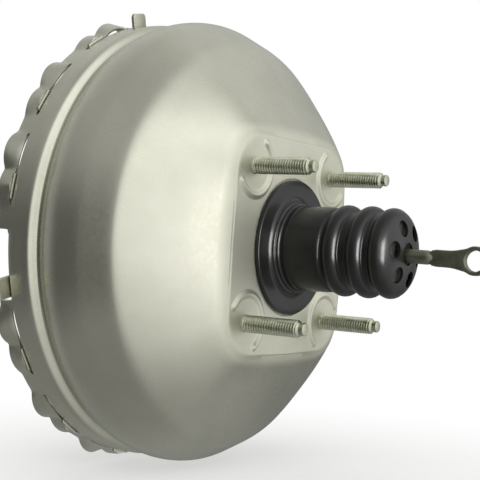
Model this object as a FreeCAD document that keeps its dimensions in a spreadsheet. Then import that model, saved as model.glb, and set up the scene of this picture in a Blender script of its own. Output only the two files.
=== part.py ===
import FreeCAD, Part
import math
import os
import Sketcher
from FreeCAD import Placement, Rotation, Vector

# Tandem vacuum brake booster. +X runs along the booster's axis towards the pedal, +Z is up, and the
# origin is the centre of the four-stud pattern on the rear mounting face. Millimetres and degrees.
SIZES = {
    # Rear shell: rounded square mounting face, shoulder, drum, and the stepped band at its open end
    "wall": 2.0,
    "face_half_width": 61.5,
    "face_corner": 22.0,
    "face_inner_half_width": 59.0,
    "face_inner_corner": 19.5,
    "shoulder_place": -33.0,
    "shoulder_radius": 118.0,
    "shoulder_inner_radius": 115.4,
    "crease_place": -51.5,
    "crease_radius": 128.3,
    "crease_inner_place": -52.0,
    "crease_inner_radius": 126.0,
    "drum_bulge_round": 31.0,
    "drum_bulge_inner_round": 33.0,
    "drum_front_place": -79.2,
    "drum_front_radius": 124.0,
    "drum_front_inner_place": -80.4,
    "drum_front_inner_radius": 122.0,
    "band_start_place": -82.6,
    "band_inner_start_place": -84.0,
    "band_radius": 129.3,
    "band_inner_radius": 127.3,
    "band_end_place": -104.0,
    "neck_hole_radius": 25.5,
    "boot_seat_radius": 39.0,
    "boot_seat_depth": 0.5,
    # Ribs pressed round the studs
    "rib_ring_radius": 16.0,
    "rib_round": 2.8,
    "rib_height": 1.5,
    "rib_span": 200.0,
    # Twist-lock lances in the band: each strip bulges in a high and a low hump in front of a slit
    "lance_angle_low": 14.3,
    "lance_angle_middle": 37.3,
    "lance_angle_high": 62.0,
    "lance_chord": 40.5,
    "slit_rear_place": -94.8,
    "slit_front_place": -97.5,
    "hump_turn": 4.4,
    "high_hump_round": 14.6,
    "high_hump_centre": 119.7,
    "low_hump_round": 18.0,
    "low_hump_centre": 114.3,
    "notch_angle": -8.7,
    "notch_chord": 38.4,
    "notch_corner": 3.0,
    "cutter_inner_radius": 123.0,
    "cutter_height": 13.0,
    # Mounting studs, 3/8 inch on a 3 3/8 inch square
    "stud_spacing": 85.725,
    "stud_radius": 4.7625,
    "stud_shoulder_radius": 5.6,
    "stud_hole_radius": 5.65,
    "stud_length": 37.07,
    "stud_thread_end": 34.6,
    "stud_tip_radius": 3.4,
    "stud_head_radius": 8.8,
    "stud_head_thickness": 3.0,
    # Front shell: flange clamped in the band, wall, cone, face, raised pad and pilot recess
    "flange_radius": 126.9,
    "flange_rear_place": -95.5,
    "front_wall_radius": 121.4,
    "front_knuckle_place": -103.0,
    "front_knuckle_radius": 119.6,
    "front_cone_place": -136.0,
    "front_cone_radius": 86.5,
    "front_face_place": -140.0,
    "front_face_radius": 80.5,
    "pad_place": -156.0,
    "pad_radius": 54.0,
    "pad_foot_radius": 57.4,
    "pilot_radius": 21.5,
    "recess_floor_place": -142.0,
    "recess_hole_radius": 12.0,
    "front_seal_place": -148.6,
    "front_seal_lip_place": -145.0,
    # Lugs of the front shell: four long ones in the notches and one small one under each low hump
    "lug_angle": -13.7,
    "lug_width": 11.5,
    "lug_reach": 137.2,
    "lug_corner": 2.5,
    "lug_root_radius": 120.5,
    "tab_width": 14.0,
    "tab_reach": 130.6,
    # Master cylinder studs on the raised pad
    "master_stud_spacing": 84.0,
    "master_stud_radius": 5.0,
    "master_stud_shoulder_radius": 6.0,
    "master_stud_hole_radius": 6.05,
    "master_stud_length": 22.0,
    "master_stud_head_radius": 8.0,
    "master_stud_tip": 1.2,
    "master_stud_head_thickness": 3.0,
    # Chamber parts
    "soft_gap": 0.4,
    "divider_centre_place": -51.0,
    "divider_flat_radius": 56.0,
    "divider_cone_place": -84.5,
    "divider_cone_radius": 108.0,
    "divider_rim_place": -89.4,
    "divider_rim_radius": 113.0,
    "divider_sheet": 1.6,
    "divider_collar_radius": 27.4,
    "divider_collar_outer_radius": 29.0,
    "divider_collar_end": -60.0,
    "rubber_sheet": 2.0,
    "plate_sheet": 1.7,
    "primary_centre_place": -9.5,
    "primary_flat_radius": 54.0,
    "primary_cone_place": -38.5,
    "primary_cone_radius": 106.0,
    "primary_wall_place": -50.0,
    "primary_wall_radius": 119.2,
    "primary_bead_rear": -84.9,
    "primary_lip_end": -47.0,
    "secondary_centre_place": -62.0,
    "secondary_flat_radius": 52.0,
    "secondary_cone_place": -90.0,
    "secondary_cone_radius": 102.0,
    "secondary_plate_place": -81.2,
    "secondary_plate_radius": 86.0,
    "secondary_lip_end": -91.0,
    "fold_front_place": -100.8,
    "fold_inner_radius": 106.5,
    "fold_outer_radius": 117.4,
    # Power piston, its bores and its seals
    "hub_radius": 25.0,
    "hub_front_place": -72.0,
    "hub_flange_radius": 33.0,
    "neck_radius": 18.6,
    "neck_end_place": 64.0,
    "neck_bore_radius": 15.2,
    "vacuum_seat_place": 4.0,
    "vacuum_seat_radius": 11.5,
    "vacuum_seat_half_width": 0.6,
    "plunger_bore_radius": 7.5,
    "reaction_bore_radius": 11.0,
    "reaction_bore_end": -52.0,
    "vacuum_port_circle": 13.7,
    "vacuum_port_radius": 1.2,
    "running_clearance": 0.05,
    "bearing_front_place": -8.4,
    "bearing_radius": 28.8,
    # Air valve, ball joint and push rod
    "key_place": -9.1,
    "key_thickness": 2.0,
    "key_half_width": 8.5,
    "key_bottom": -8.5,
    "key_top": 16.3,
    "key_fork_radius": 5.7,
    "key_groove_radius": 5.5,
    "key_groove_width": 4.9,
    "key_slot_clearance": 0.1,
    "air_valve_front": -49.0,
    "seal_groove_place": -32.6,
    "seal_groove_width": 1.7,
    "seal_groove_radius": 5.9,
    "seal_wire": 0.75,
    "air_seat_radius": 9.6,
    "air_seat_place": 5.3,
    "air_seat_thickness": 2.3,
    "socket_radius": 7.6,
    "socket_end": 20.5,
    "socket_mouth_flare": 5.2,
    "ball_place": 16.0,
    "ball_unit": 1.03,
    "socket_unit": 1.05,
    "rod_radius": 3.83,
    "rod_collar_radius": 5.2,
    "rod_collar_front": 35.0,
    "rod_collar_rear": 37.0,
    "rod_ramp_start": 85.2,
    "rod_flat_start": 86.7,
    "rod_flat_half_thickness": 2.35,
    "rod_neck_half_height": 4.55,
    "rod_neck_end": 100.2,
    "rod_flat_root": 3.0,
    "eye_place": 111.41,
    "eye_radius": 7.7,
    "eye_hole_radius": 5.55,
    "eye_chamfer": 0.6,
    "rod_droop": 0.84,
    # Floating control valve, springs, filter and silencer in the neck of the power piston
    "control_face_place": 5.5,
    "control_face_thickness": 2.0,
    "control_face_radius": 13.0,
    "control_face_hole": 8.0,
    "control_tube_radius": 10.6,
    "control_tube_end": 16.0,
    "retainer_place": 20.0,
    "retainer_thickness": 1.5,
    "retainer_hole": 10.9,
    "ring_radius": 15.1,
    "insert_sheet": 1.0,
    "retainer_cup_place": 12.5,
    "small_spring_wire": 0.45,
    "small_spring_radius": 11.9,
    "return_spring_wire": 0.65,
    "return_spring_radius": 11.8,
    "rod_seat_place": 33.0,
    "rod_seat_thickness": 1.8,
    "rod_seat_radius": 13.2,
    "filter_start": 38.5,
    "filter_end": 48.0,
    "silencer_start": 49.0,
    "silencer_shoulder": 64.4,
    "silencer_end": 68.8,
    "silencer_radius": 19.0,
    "filter_radius": 15.0,
    "filter_hole": 6.9,
    "silencer_ring_hole": 9.0,
    # Output side
    "reaction_disc_thickness": 5.0,
    "output_head_thickness": 4.5,
    "output_head_radius": 10.7,
    "output_rod_radius": 6.0,
    "retainer_sheet": 1.3,
    "output_tip_radius": 4.5,
    "output_tip_chamfer": 1.0,
    "output_tip_start": -150.0,
    "output_tip_end": -168.0,
    "piston_spring_wire": 1.7,
    "piston_spring_radius": 28.0,
    # Rubber boot
    "boot_wall": 1.5,
    "boot_flange_radius": 38.45,
    "boot_flange_thickness": 2.4,
    "boot_lip_radius": 26.6,
    "boot_tube_radius": 24.0,
    "boot_tube_place": 10.0,
    "boot_tube_end": 29.2,
    "boot_valley_radius": 21.6,
    "boot_fold_round": 5.2,
    "boot_fold_half": 4.95,
    "boot_fold_inner_half": 3.65,
    "boot_first_fold": 36.4,
    "boot_second_fold": 50.9,
    "boot_cap_radius": 24.7,
    "boot_cap_start": 60.4,
    "boot_cap_place": 65.4,
    "boot_end_round": 9.0,
    "boot_end_radius": 15.2,
    "boot_end_place": 73.2,
    "boot_hole_radius": 6.0,
    "vent_circle": 14.6,
    "vent_radius": 4.5,
    "vent_angle": 8.0,
    # Vacuum check valve on the front face
    "check_valve_height": 69.0,
    "grommet_hole_radius": 8.2,
    "check_stem_radius": 5.5,
    "check_body_radius": 11.0,
    "check_inlet_radius": 3.2,
    "check_seat_place": -145.0,
    "check_chamber_radius": 8.0,
    "check_split_place": -151.5,
    "nipple_radius": 5.2,
    "nipple_bore_radius": 2.8,
    "nipple_base_place": -154.1,
    "nipple_barb_place": -178.0,
    "nipple_end_place": -184.0,
    "nipple_barb_radius": 6.2,
    "nipple_tip": 0.8,
    "check_inlet_place": -134.5,
    "grommet_lip": 1.6,
    "check_disc_radius": 6.8,
    "check_disc_thickness": 1.5,
    "check_spring_wire": 0.4,
    "check_spring_radius": 4.2,
}
COS_30 = "0.8660254"
QUARTERS = 4
VENTS = 6
SMALL_SPRING_TURNS = 3
CHECK_SPRING_TURNS = 2
TURNS_PER_EDGE = 0.5
PISTON_SPRING_TURNS = 6
TINY = 1e-6

document = FreeCAD.newDocument("BrakeBooster")


def make_sheet():
    """Spreadsheet that holds every driving dimension under its own alias."""
    sheet = document.addObject("Spreadsheet::Sheet", "Sizes")
    for row, (alias, number) in enumerate(SIZES.items(), 1):
        sheet.set(f"A{row}", str(number))
        sheet.setAlias(f"A{row}", alias)
    document.recompute()


def amount(text):
    """Number of a sum of sizes such as "pad_place + 0.5*wall"."""
    total = 0.0
    sign = 1.0
    for word in text.split():
        if word in ("+", "-"):
            sign = 1.0 if word == "+" else -1.0
            continue
        factor, _, name = word.rpartition("*")
        number = SIZES[name] if name in SIZES else float(name)
        total += sign * number * (float(factor) if factor else 1.0)
    return total


def formula(text):
    """The same sum, written with the cells of the spreadsheet."""
    words = []
    for word in text.split():
        factor, star, name = word.rpartition("*")
        words.append(factor + star + ("Sizes." + name if name in SIZES else name))
    return " ".join(words)


def negative(text):
    """The sum with every sign turned over."""
    words = text.split()
    if words[0] not in ("+", "-"):
        words.insert(0, "+")
    swap = {"+": "-", "-": "+"}
    return " ".join(swap.get(word, word) for word in words)


def new_body(label):
    """Empty body under its own label."""
    body = document.addObject("PartDesign::Body", label)
    body.Label = label
    return body


def new_sketch(body, name, plane="XZ_Plane", place=None):
    """Sketch on one of the body's origin planes, moved along the plane's normal where a place is given."""
    sketch = body.newObject("Sketcher::SketchObject", name)
    support = [feature for feature in body.Origin.OriginFeatures if feature.Role == plane][0]
    sketch.AttachmentSupport = [(support, "")]
    sketch.MapMode = "FlatFace"
    if place:
        sketch.AttachmentOffset = Placement(Vector(0, 0, amount(place)), Rotation())
        sketch.setExpression("AttachmentOffset.Base.z", formula(place))
    return sketch


def bind(sketch, constraint, text):
    """Add a dimension whose value follows the spreadsheet."""
    index = sketch.addConstraint(constraint)
    sketch.setExpression(f"Constraints[{index}]", formula(text))


def arc_between(start, end, radius, side):
    """Shorter arc from start to end. Its centre is on the left of that run where side is 1."""
    run = end - start
    half = run.Length / 2
    left = Vector(-run.y, run.x, 0).normalize()
    centre = (start + end) / 2 + left * side * math.sqrt(max(radius * radius - half * half, 0))
    first, last = (start, end) if side > 0 else (end, start)
    angles = [math.atan2(point.y - centre.y, point.x - centre.x) for point in (first, last)]
    return Part.ArcOfCircle(Part.Circle(centre, Vector(0, 0, 1), radius), angles[0], angles[1])


def outline(sketch, corners):
    """Closed outline. A corner is (across, up), or (across, up, radius, side) where an arc ends there."""
    points = [Vector(amount(corner[0]), amount(corner[1]), 0) for corner in corners]
    first = sketch.GeometryCount
    ends = []
    for index, corner in enumerate(corners):
        start, end = points[index - 1], points[index]
        if len(corner) == 2:
            sketch.addGeometry(Part.LineSegment(start, end), False)
            ends.append((1, 2))
            continue
        sketch.addGeometry(arc_between(start, end, amount(corner[2]), corner[3]), False)
        ends.append((1, 2) if corner[3] > 0 else (2, 1))
    for index, corner in enumerate(corners):
        here = first + index
        following = first + (index + 1) % len(corners)
        start_of_next = ends[(index + 1) % len(corners)][0]
        sketch.addConstraint(Sketcher.Constraint("Coincident", here, ends[index][1], following, start_of_next))
        for kind, axis, text in (("DistanceX", -2, corner[0]), ("DistanceY", -1, corner[1])):
            if amount(text) == 0:
                sketch.addConstraint(Sketcher.Constraint("PointOnObject", here, ends[index][1], axis))
                continue
            bind(sketch, Sketcher.Constraint(kind, -1, 1, here, ends[index][1], amount(text)), text)
        if len(corner) == 4:
            bind(sketch, Sketcher.Constraint("Radius", here, amount(corner[2])), corner[2])


def circles(sketch, centres, radius):
    """Equal circles at the given centres, each an (across, up) pair of sums."""
    for across, up in centres:
        index = sketch.addGeometry(
            Part.Circle(Vector(amount(across), amount(up), 0), Vector(0, 0, 1), amount(radius)), False
        )
        bind(sketch, Sketcher.Constraint("Radius", index, amount(radius)), radius)
        for kind, axis, text in (("DistanceX", -2, across), ("DistanceY", -1, up)):
            if amount(text) == 0:
                sketch.addConstraint(Sketcher.Constraint("PointOnObject", index, 3, axis))
                continue
            bind(sketch, Sketcher.Constraint(kind, -1, 1, index, 3, amount(text)), text)


def revolve(body, corners, name="turned"):
    """Turn an outline of (place along X, radius) corners about the X axis."""
    sketch = new_sketch(body, body.Label + "_" + name + "_section")
    outline(sketch, corners)
    feature = body.newObject("PartDesign::Revolution", body.Label + "_" + name)
    feature.Profile = sketch
    feature.ReferenceAxis = (sketch, ["H_Axis"])
    feature.Angle = 360
    return feature


def turned(label, corners):
    """Body made of one turned section."""
    body = new_body(label)
    revolve(body, corners)
    return body


def bore(body, name, centres, radius, rear_place, depth):
    """Round holes along X, cut forward from the rear place, with the lost volume compared."""
    document.recompute()
    before = body.Shape.Volume
    sketch = new_sketch(body, body.Label + "_" + name + "_section", "YZ_Plane", rear_place)
    circles(sketch, centres, radius)
    pocket = body.newObject("PartDesign::Pocket", body.Label + "_" + name)
    pocket.Profile = sketch
    pocket.Type = 0
    pocket.Length = amount(depth)
    pocket.setExpression("Length", formula(depth))
    document.recompute()
    most = len(centres) * math.pi * amount(radius) ** 2 * amount(depth)
    lost = before - body.Shape.Volume
    if not 0 < lost <= most * 1.001:
        raise RuntimeError(f"{body.Label} {name}: holes cut {lost:.1f} of at most {most:.1f} cubic mm")


def primitive(kind, label, **sizes):
    """Part primitive whose dimensions follow the spreadsheet."""
    solid = document.addObject(kind, label)
    for name, text in sizes.items():
        setattr(solid, name, amount(text))
        solid.setExpression(name, formula(text))
    return solid


def coil(label, wire, radius, start, length, turns):
    """Round-wire helical spring about X, from its start place towards +X."""
    path = primitive("Part::Helix", label + "_path", Height=length, Radius=radius)
    path.Pitch = amount(length) / turns
    path.setExpression("Pitch", f"({formula(length)}) / {turns}")
    path.SegmentLength = TURNS_PER_EDGE
    document.recompute()
    section = primitive("Part::Circle", label + "_wire", Radius=wire)
    section.Placement = Placement(Vector(), Rotation(Vector(1, 0, 0), 90))
    section.setExpression("Placement.Base.x", formula(radius))
    spring = document.addObject("Part::Sweep", label)
    spring.Sections = [section]
    spring.Spine = (path, [f"Edge{number}" for number in range(1, len(path.Shape.Edges) + 1)])
    spring.Solid = True
    spring.Frenet = True
    spring.Placement = Placement(Vector(), Rotation(Vector(0, 1, 0), 90))
    spring.setExpression("Placement.Base.x", formula(start))
    return spring


def at_angle(solid, place, radius, angle, turn=0.0, across="0", lying=False):
    """Put a solid at a place along X, out on the ray that is angle plus turn up from -Y."""
    degrees = amount(angle) + turn
    outward = Rotation(Vector(1, 0, 0), 180 - degrees)
    along_x = Rotation(Vector(0, 1, 0), 90)
    solid.Placement = Placement(Vector(), outward * along_x if lying else outward)
    ray = f"({formula(angle)} + {turn})"
    reach = formula(radius)
    shift = formula(across)
    solid.setExpression("Placement.Base.x", formula(place))
    solid.setExpression("Placement.Base.y", f"({shift}) * sin({ray}) - ({reach}) * cos({ray})")
    solid.setExpression("Placement.Base.z", f"({shift}) * cos({ray}) + ({reach}) * sin({ray})")
    return solid


def joined(label, solids):
    """Boolean union of several solids."""
    fuse = document.addObject("Part::MultiFuse", label)
    fuse.Shapes = solids
    return fuse


def reduced(label, base, tool):
    """One solid with another cut away."""
    cut = document.addObject("Part::Cut", label)
    cut.Base = base
    cut.Tool = tool
    return cut


def rounded(label, base, chosen, radius):
    """Part fillet on the edges that the chosen test accepts."""
    document.recompute()
    fillet = document.addObject("Part::Fillet", label)
    fillet.Base = base
    round_radius = amount(radius)
    numbers = [number for number, edge in enumerate(base.Shape.Edges, 1) if chosen(edge)]
    fillet.Edges = [(number, round_radius, round_radius) for number in numbers]
    return fillet


def group(label, bodies):
    """Equal fasteners kept as separate solids of one group."""
    compound = document.addObject("Part::Compound", label)
    compound.Links = bodies
    compound.Label = label
    return compound


# Rear shell
def split_circle(sketch, radius):
    """Circle in eight arcs, whose seams meet those of the rounded square."""
    near = f"0.5*{radius}"
    far = f"{COS_30}*{radius}"
    quarter = [(far, near), (near, far)]
    corners = []
    for turn in range(QUARTERS):
        for across, up in quarter:
            corners.append((across, up, radius, 1))
        quarter = [(negative(up), across) for across, up in quarter]
    outline(sketch, corners)


def rounded_square(sketch, half, corner):
    """Square with round corners, in eight pieces that start with its right side."""
    flat = f"{half} - {corner}"
    quarter = [(half, flat), (flat, half)]
    corners = []
    for turn in range(QUARTERS):
        (across, up), (next_across, next_up) = quarter
        corners.append((across, up))
        corners.append((next_across, next_up, corner, 1))
        quarter = [(negative(up), across) for across, up in quarter]
    outline(sketch, corners)


def loft(body, kind, name, circle_radius, square_place, half, corner):
    """Straight-ruled skin from the shoulder circle to a rounded square."""
    circle = new_sketch(body, name + "_circle", "YZ_Plane", "shoulder_place")
    split_circle(circle, circle_radius)
    square = new_sketch(body, name + "_square", "YZ_Plane", square_place)
    rounded_square(square, half, corner)
    document.recompute()
    feature = body.newObject(kind, name)
    feature.Profile = circle
    feature.Sections = [square]
    feature.Ruled = True
    document.recompute()


def shell_pressing():
    """The rear shell before its lances: cup with a square face, drum, and stepped band."""
    body = new_body("shell_pressing")
    loft(
        body, "PartDesign::AdditiveLoft", "cup_outside",
        "shoulder_radius", "0", "face_half_width", "face_corner",
    )
    loft(
        body, "PartDesign::SubtractiveLoft", "cup_inside",
        "shoulder_inner_radius", "- wall", "face_inner_half_width", "face_inner_corner",
    )
    revolve(body, [
        ("shoulder_place", "shoulder_inner_radius"),
        ("shoulder_place", "shoulder_radius"),
        ("crease_place", "crease_radius"),
        ("drum_front_place", "drum_front_radius", "drum_bulge_round", 1),
        ("band_start_place", "band_radius"),
        ("band_end_place", "band_radius"),
        ("band_end_place", "band_inner_radius"),
        ("band_inner_start_place", "band_inner_radius"),
        ("drum_front_inner_place", "drum_front_inner_radius"),
        ("crease_inner_place", "crease_inner_radius", "drum_bulge_inner_round", -1),
    ], "drum")
    bore(body, "neck_hole", [("0", "0")], "neck_hole_radius", "wall", "2*wall")
    bore(body, "boot_seat", [("0", "0")], "boot_seat_radius", "0", "boot_seat_depth")
    bore(body, "stud_holes", stud_centres(), "stud_hole_radius", "wall", "2*wall")
    return body


def stud_centres():
    """Centres of the mounting studs as (Y, Z) sums."""
    half = "0.5*stud_spacing"
    return [(across, up) for across in (half, negative(half)) for up in (half, negative(half))]


def lance_places():
    """Angle name and quarter turn of each of the twelve lances."""
    names = ("lance_angle_low", "lance_angle_middle", "lance_angle_high")
    return [(name, 90.0 * quarter) for quarter in range(QUARTERS) for name in names]


def hump_cylinders(label, inset):
    """Cylinders along X, two per lance, whose skins are the high and low humps of its strip."""
    solids = []
    for number, (angle, turn) in enumerate(lance_places(), 1):
        for size, side in (("high", "+"), ("low", "-")):
            solid = primitive(
                "Part::Cylinder", f"{label}_{size}_{number}",
                Radius=f"{size}_hump_round - {inset}",
                Height="slit_front_place - band_end_place",
            )
            at_angle(
                solid, "band_end_place", f"{size}_hump_centre", f"{angle} {side} hump_turn", turn, lying=True
            )
            solids.append(solid)
    return solids


def band_cutter(label, front_place, depth, chord, angle, turn):
    """Block that cuts through the band on the given ray."""
    block = primitive("Part::Box", label, Length=depth, Width="cutter_height", Height=chord)
    return at_angle(block, front_place, "cutter_inner_radius", angle, turn, f"0.5*{chord}")


def rib(number, across, up):
    """Raised C-shaped rib round a stud, open towards the outer corner, with rounded ends."""
    middle = math.degrees(math.atan2(-amount(up), -amount(across)))
    half = amount("rib_span") / 2
    tube_place = "rib_height - rib_round"
    ring = primitive("Part::Torus", f"rib_ring_{number}", Radius1="rib_ring_radius", Radius2="rib_round")
    ring.Angle3 = amount("rib_span")
    ring.setExpression("Angle3", formula("rib_span"))
    upright = Rotation(Vector(0, 1, 0), 90)
    ring.Placement = Placement(Vector(), Rotation(Vector(1, 0, 0), middle - half + 90) * upright)
    for axis, text in (("x", tube_place), ("y", across), ("z", up)):
        ring.setExpression(f"Placement.Base.{axis}", formula(text))
    solids = [ring]
    for end, angle in (("first", middle - half), ("last", middle + half)):
        ball = primitive("Part::Sphere", f"rib_{end}_end_{number}", Radius="rib_round")
        ball.setExpression("Placement.Base.x", formula(tube_place))
        reach = formula("rib_ring_radius")
        ball.setExpression("Placement.Base.y", f"{formula(across)} + {reach} * cos({angle})")
        ball.setExpression("Placement.Base.z", f"{formula(up)} + {reach} * sin({angle})")
        solids.append(ball)
    return solids


def rear_housing():
    """Rear shell with its stud ribs, lances, slits and edge notches."""
    solids = [shell_pressing()] + hump_cylinders("hump", "0")
    for number, (across, up) in enumerate(stud_centres(), 1):
        solids += rib(number, across, up)
    raised = joined("raised_shell", solids)
    inside = primitive(
        "Part::Cylinder", "strip_inside", Radius="band_inner_radius",
        Height="slit_front_place - band_end_place",
    )
    inside.Placement = Placement(Vector(), Rotation(Vector(0, 1, 0), 90))
    inside.setExpression("Placement.Base.x", formula("band_end_place"))
    cutters = [inside] + hump_cylinders("hump_inside", "wall")
    for number, (angle, turn) in enumerate(lance_places(), 1):
        cutters.append(band_cutter(
            f"slit_{number}", "slit_front_place", "slit_rear_place - slit_front_place",
            "lance_chord", angle, turn,
        ))
    for quarter in range(QUARTERS):
        block = band_cutter(
            f"notch_block_{quarter}", "band_end_place - wall", "slit_rear_place - band_end_place + wall",
            "notch_chord", "notch_angle", 90.0 * quarter,
        )
        cutters.append(rounded(
            f"notch_{quarter}", block,
            lambda edge: all(abs(vertex.X - amount("slit_rear_place")) < TINY for vertex in edge.Vertexes)
            and abs(edge.Length - amount("cutter_height")) < TINY,
            "notch_corner",
        ))
    return [reduced("rear_housing", raised, joined("band_openings", cutters))]


def weld_stud(label, centre, forward, sizes, head_place):
    """Stud along X: head inside the shell, shoulder through its wall, and a plain pilot at the tip."""
    radius, length, head_radius, head_thickness, shoulder_radius, tip_start, tip_radius = sizes
    sign = (lambda text: negative(text)) if forward else (lambda text: text)
    corners = [
        (sign(f"- {head_thickness}"), "0"),
        (sign(f"- {head_thickness}"), head_radius),
        ("0", head_radius),
        ("0", shoulder_radius),
        (sign("wall"), shoulder_radius),
        (sign("wall"), radius),
        (sign(tip_start), radius),
        (sign(f"{tip_start} + {radius} - {tip_radius}"), tip_radius),
        (sign(length), tip_radius),
        (sign(length), "0"),
    ]
    body = turned(label, corners)
    for axis, text in (("x", head_place), ("y", centre[0]), ("z", centre[1])):
        body.setExpression(f"Placement.Base.{axis}", formula(text))
    return body


def mounting_studs():
    """Four studs on a square that bolt the booster to the bulkhead."""
    sizes = (
        "stud_radius", "stud_length + wall", "stud_head_radius", "stud_head_thickness",
        "stud_shoulder_radius", "stud_thread_end + wall", "stud_tip_radius",
    )
    studs = [
        weld_stud(f"mounting_stud_{number}", centre, False, sizes, "- wall")
        for number, centre in enumerate(stud_centres(), 1)
    ]
    return [group("mounting_studs", studs)]


def master_cylinder_studs():
    """Two studs on the raised pad that carry the master cylinder."""
    sizes = (
        "master_stud_radius", "master_stud_length + wall", "master_stud_head_radius",
        "master_stud_head_thickness", "master_stud_shoulder_radius", "master_stud_length",
        "master_stud_radius - master_stud_tip",
    )
    half = "0.5*master_stud_spacing"
    studs = [
        weld_stud(f"master_stud_{number}", (across, "0"), True, sizes, "pad_place + wall")
        for number, across in enumerate((half, negative(half)), 1)
    ]
    return [group("master_cylinder_studs", studs)]


# Front shell
def front_housing():
    """Front shell: flange, wall, face, raised pad with its pilot recess, lugs and lock tabs."""
    body = new_body("front_pressing")
    revolve(body, [
        ("flange_rear_place", "flange_radius"),
        ("flange_rear_place", "front_wall_radius - wall"),
        ("front_knuckle_place + 0.5*wall", "front_knuckle_radius - wall"),
        ("front_cone_place + wall", "front_cone_radius - 0.5*wall"),
        ("front_face_place + wall", "front_face_radius - 0.5*wall"),
        ("front_face_place + wall", "pad_foot_radius - 0.5*wall"),
        ("pad_place + wall", "pad_radius - 0.5*wall"),
        ("pad_place + wall", "pilot_radius + wall"),
        ("recess_floor_place + wall", "pilot_radius + wall"),
        ("recess_floor_place + wall", "recess_hole_radius"),
        ("recess_floor_place", "recess_hole_radius"),
        ("recess_floor_place", "pilot_radius"),
        ("pad_place", "pilot_radius"),
        ("pad_place", "pad_radius"),
        ("front_face_place", "pad_foot_radius"),
        ("front_face_place", "front_face_radius"),
        ("front_cone_place", "front_cone_radius"),
        ("front_knuckle_place", "front_knuckle_radius"),
        ("flange_rear_place - wall", "front_wall_radius"),
        ("flange_rear_place - wall", "flange_radius"),
    ])
    half = "0.5*master_stud_spacing"
    bore(
        body, "stud_holes", [(half, "0"), (negative(half), "0")], "master_stud_hole_radius",
        "pad_place + 2*wall", "3*wall",
    )
    bore(
        body, "check_valve_hole", [("0", "check_valve_height")], "grommet_hole_radius",
        "front_face_place + 2*wall", "3*wall",
    )
    solids = [body]
    for quarter in range(QUARTERS):
        plate = primitive(
            "Part::Box", f"lug_plate_{quarter}", Length="wall",
            Width="lug_reach - lug_root_radius", Height="lug_width",
        )
        at_angle(
            plate, "flange_rear_place - wall", "lug_root_radius", "lug_angle", 90.0 * quarter,
            "0.5*lug_width",
        )
        solids.append(rounded(
            f"lug_{quarter}", plate,
            lambda edge: abs(edge.Length - amount("wall")) < TINY
            and math.hypot(edge.Vertexes[0].Y, edge.Vertexes[0].Z) > amount("lug_reach") - TINY,
            "lug_corner",
        ))
    for number, (angle, turn) in enumerate(lance_places(), 1):
        tab = primitive(
            "Part::Box", f"lock_tab_{number}", Length="wall",
            Width="tab_reach - lug_root_radius", Height="tab_width",
        )
        at_angle(
            tab, "flange_rear_place - wall", "lug_root_radius", f"{angle} - hump_turn", turn,
            "0.5*tab_width",
        )
        solids.append(tab)
    return [joined("front_housing", solids)]


# Chambers
def housing_divider():
    """Fixed wall between the two chambers, with a collar for its seal."""
    return [turned("housing_divider", [
        ("divider_centre_place", "divider_collar_radius"),
        ("divider_centre_place", "divider_flat_radius"),
        ("divider_cone_place", "divider_cone_radius"),
        ("divider_rim_place", "divider_rim_radius"),
        ("divider_rim_place", "flange_radius"),
        ("divider_rim_place - divider_sheet", "flange_radius"),
        ("divider_rim_place - divider_sheet", "divider_rim_radius - 0.5*divider_sheet"),
        ("divider_cone_place - 1.2*divider_sheet", "divider_cone_radius - 0.5*divider_sheet"),
        ("divider_centre_place - divider_sheet", "divider_flat_radius"),
        ("divider_centre_place - divider_sheet", "divider_collar_outer_radius"),
        ("divider_collar_end", "divider_collar_outer_radius"),
        ("divider_collar_end", "divider_collar_radius"),
    ])]


def seals():
    """Seals that stay with the shells: neck bearing, divider seal and front seal."""
    bearing = turned("piston_bearing_seal", [
        ("- boot_seat_depth - running_clearance", "neck_radius + running_clearance"),
        ("- boot_seat_depth - running_clearance", "neck_hole_radius - running_clearance"),
        ("- wall", "neck_hole_radius - running_clearance"),
        ("- wall", "bearing_radius"),
        ("bearing_front_place", "bearing_radius"),
        ("bearing_front_place", "neck_radius + running_clearance"),
    ])
    divider_seal = turned("divider_seal", [
        ("divider_centre_place + wall", "hub_radius + running_clearance"),
        ("divider_centre_place + wall", "divider_collar_outer_radius"),
        ("divider_centre_place", "divider_collar_outer_radius"),
        ("divider_centre_place", "divider_collar_radius"),
        ("divider_collar_end", "divider_collar_radius"),
        ("divider_collar_end", "hub_radius + running_clearance"),
    ])
    front_seal = turned("front_seal", [
        ("recess_floor_place", "output_rod_radius + soft_gap"),
        ("recess_floor_place", "pilot_radius - running_clearance"),
        ("front_seal_place", "pilot_radius - running_clearance"),
        ("front_seal_place", "pilot_radius - wall"),
        ("front_seal_lip_place", "pilot_radius - 2*wall"),
        ("front_seal_lip_place", "output_rod_radius + 2*wall"),
        ("front_seal_place", "output_rod_radius + wall"),
        ("front_seal_place", "output_rod_radius + soft_gap"),
    ])
    return [bearing, divider_seal, front_seal]


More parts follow.
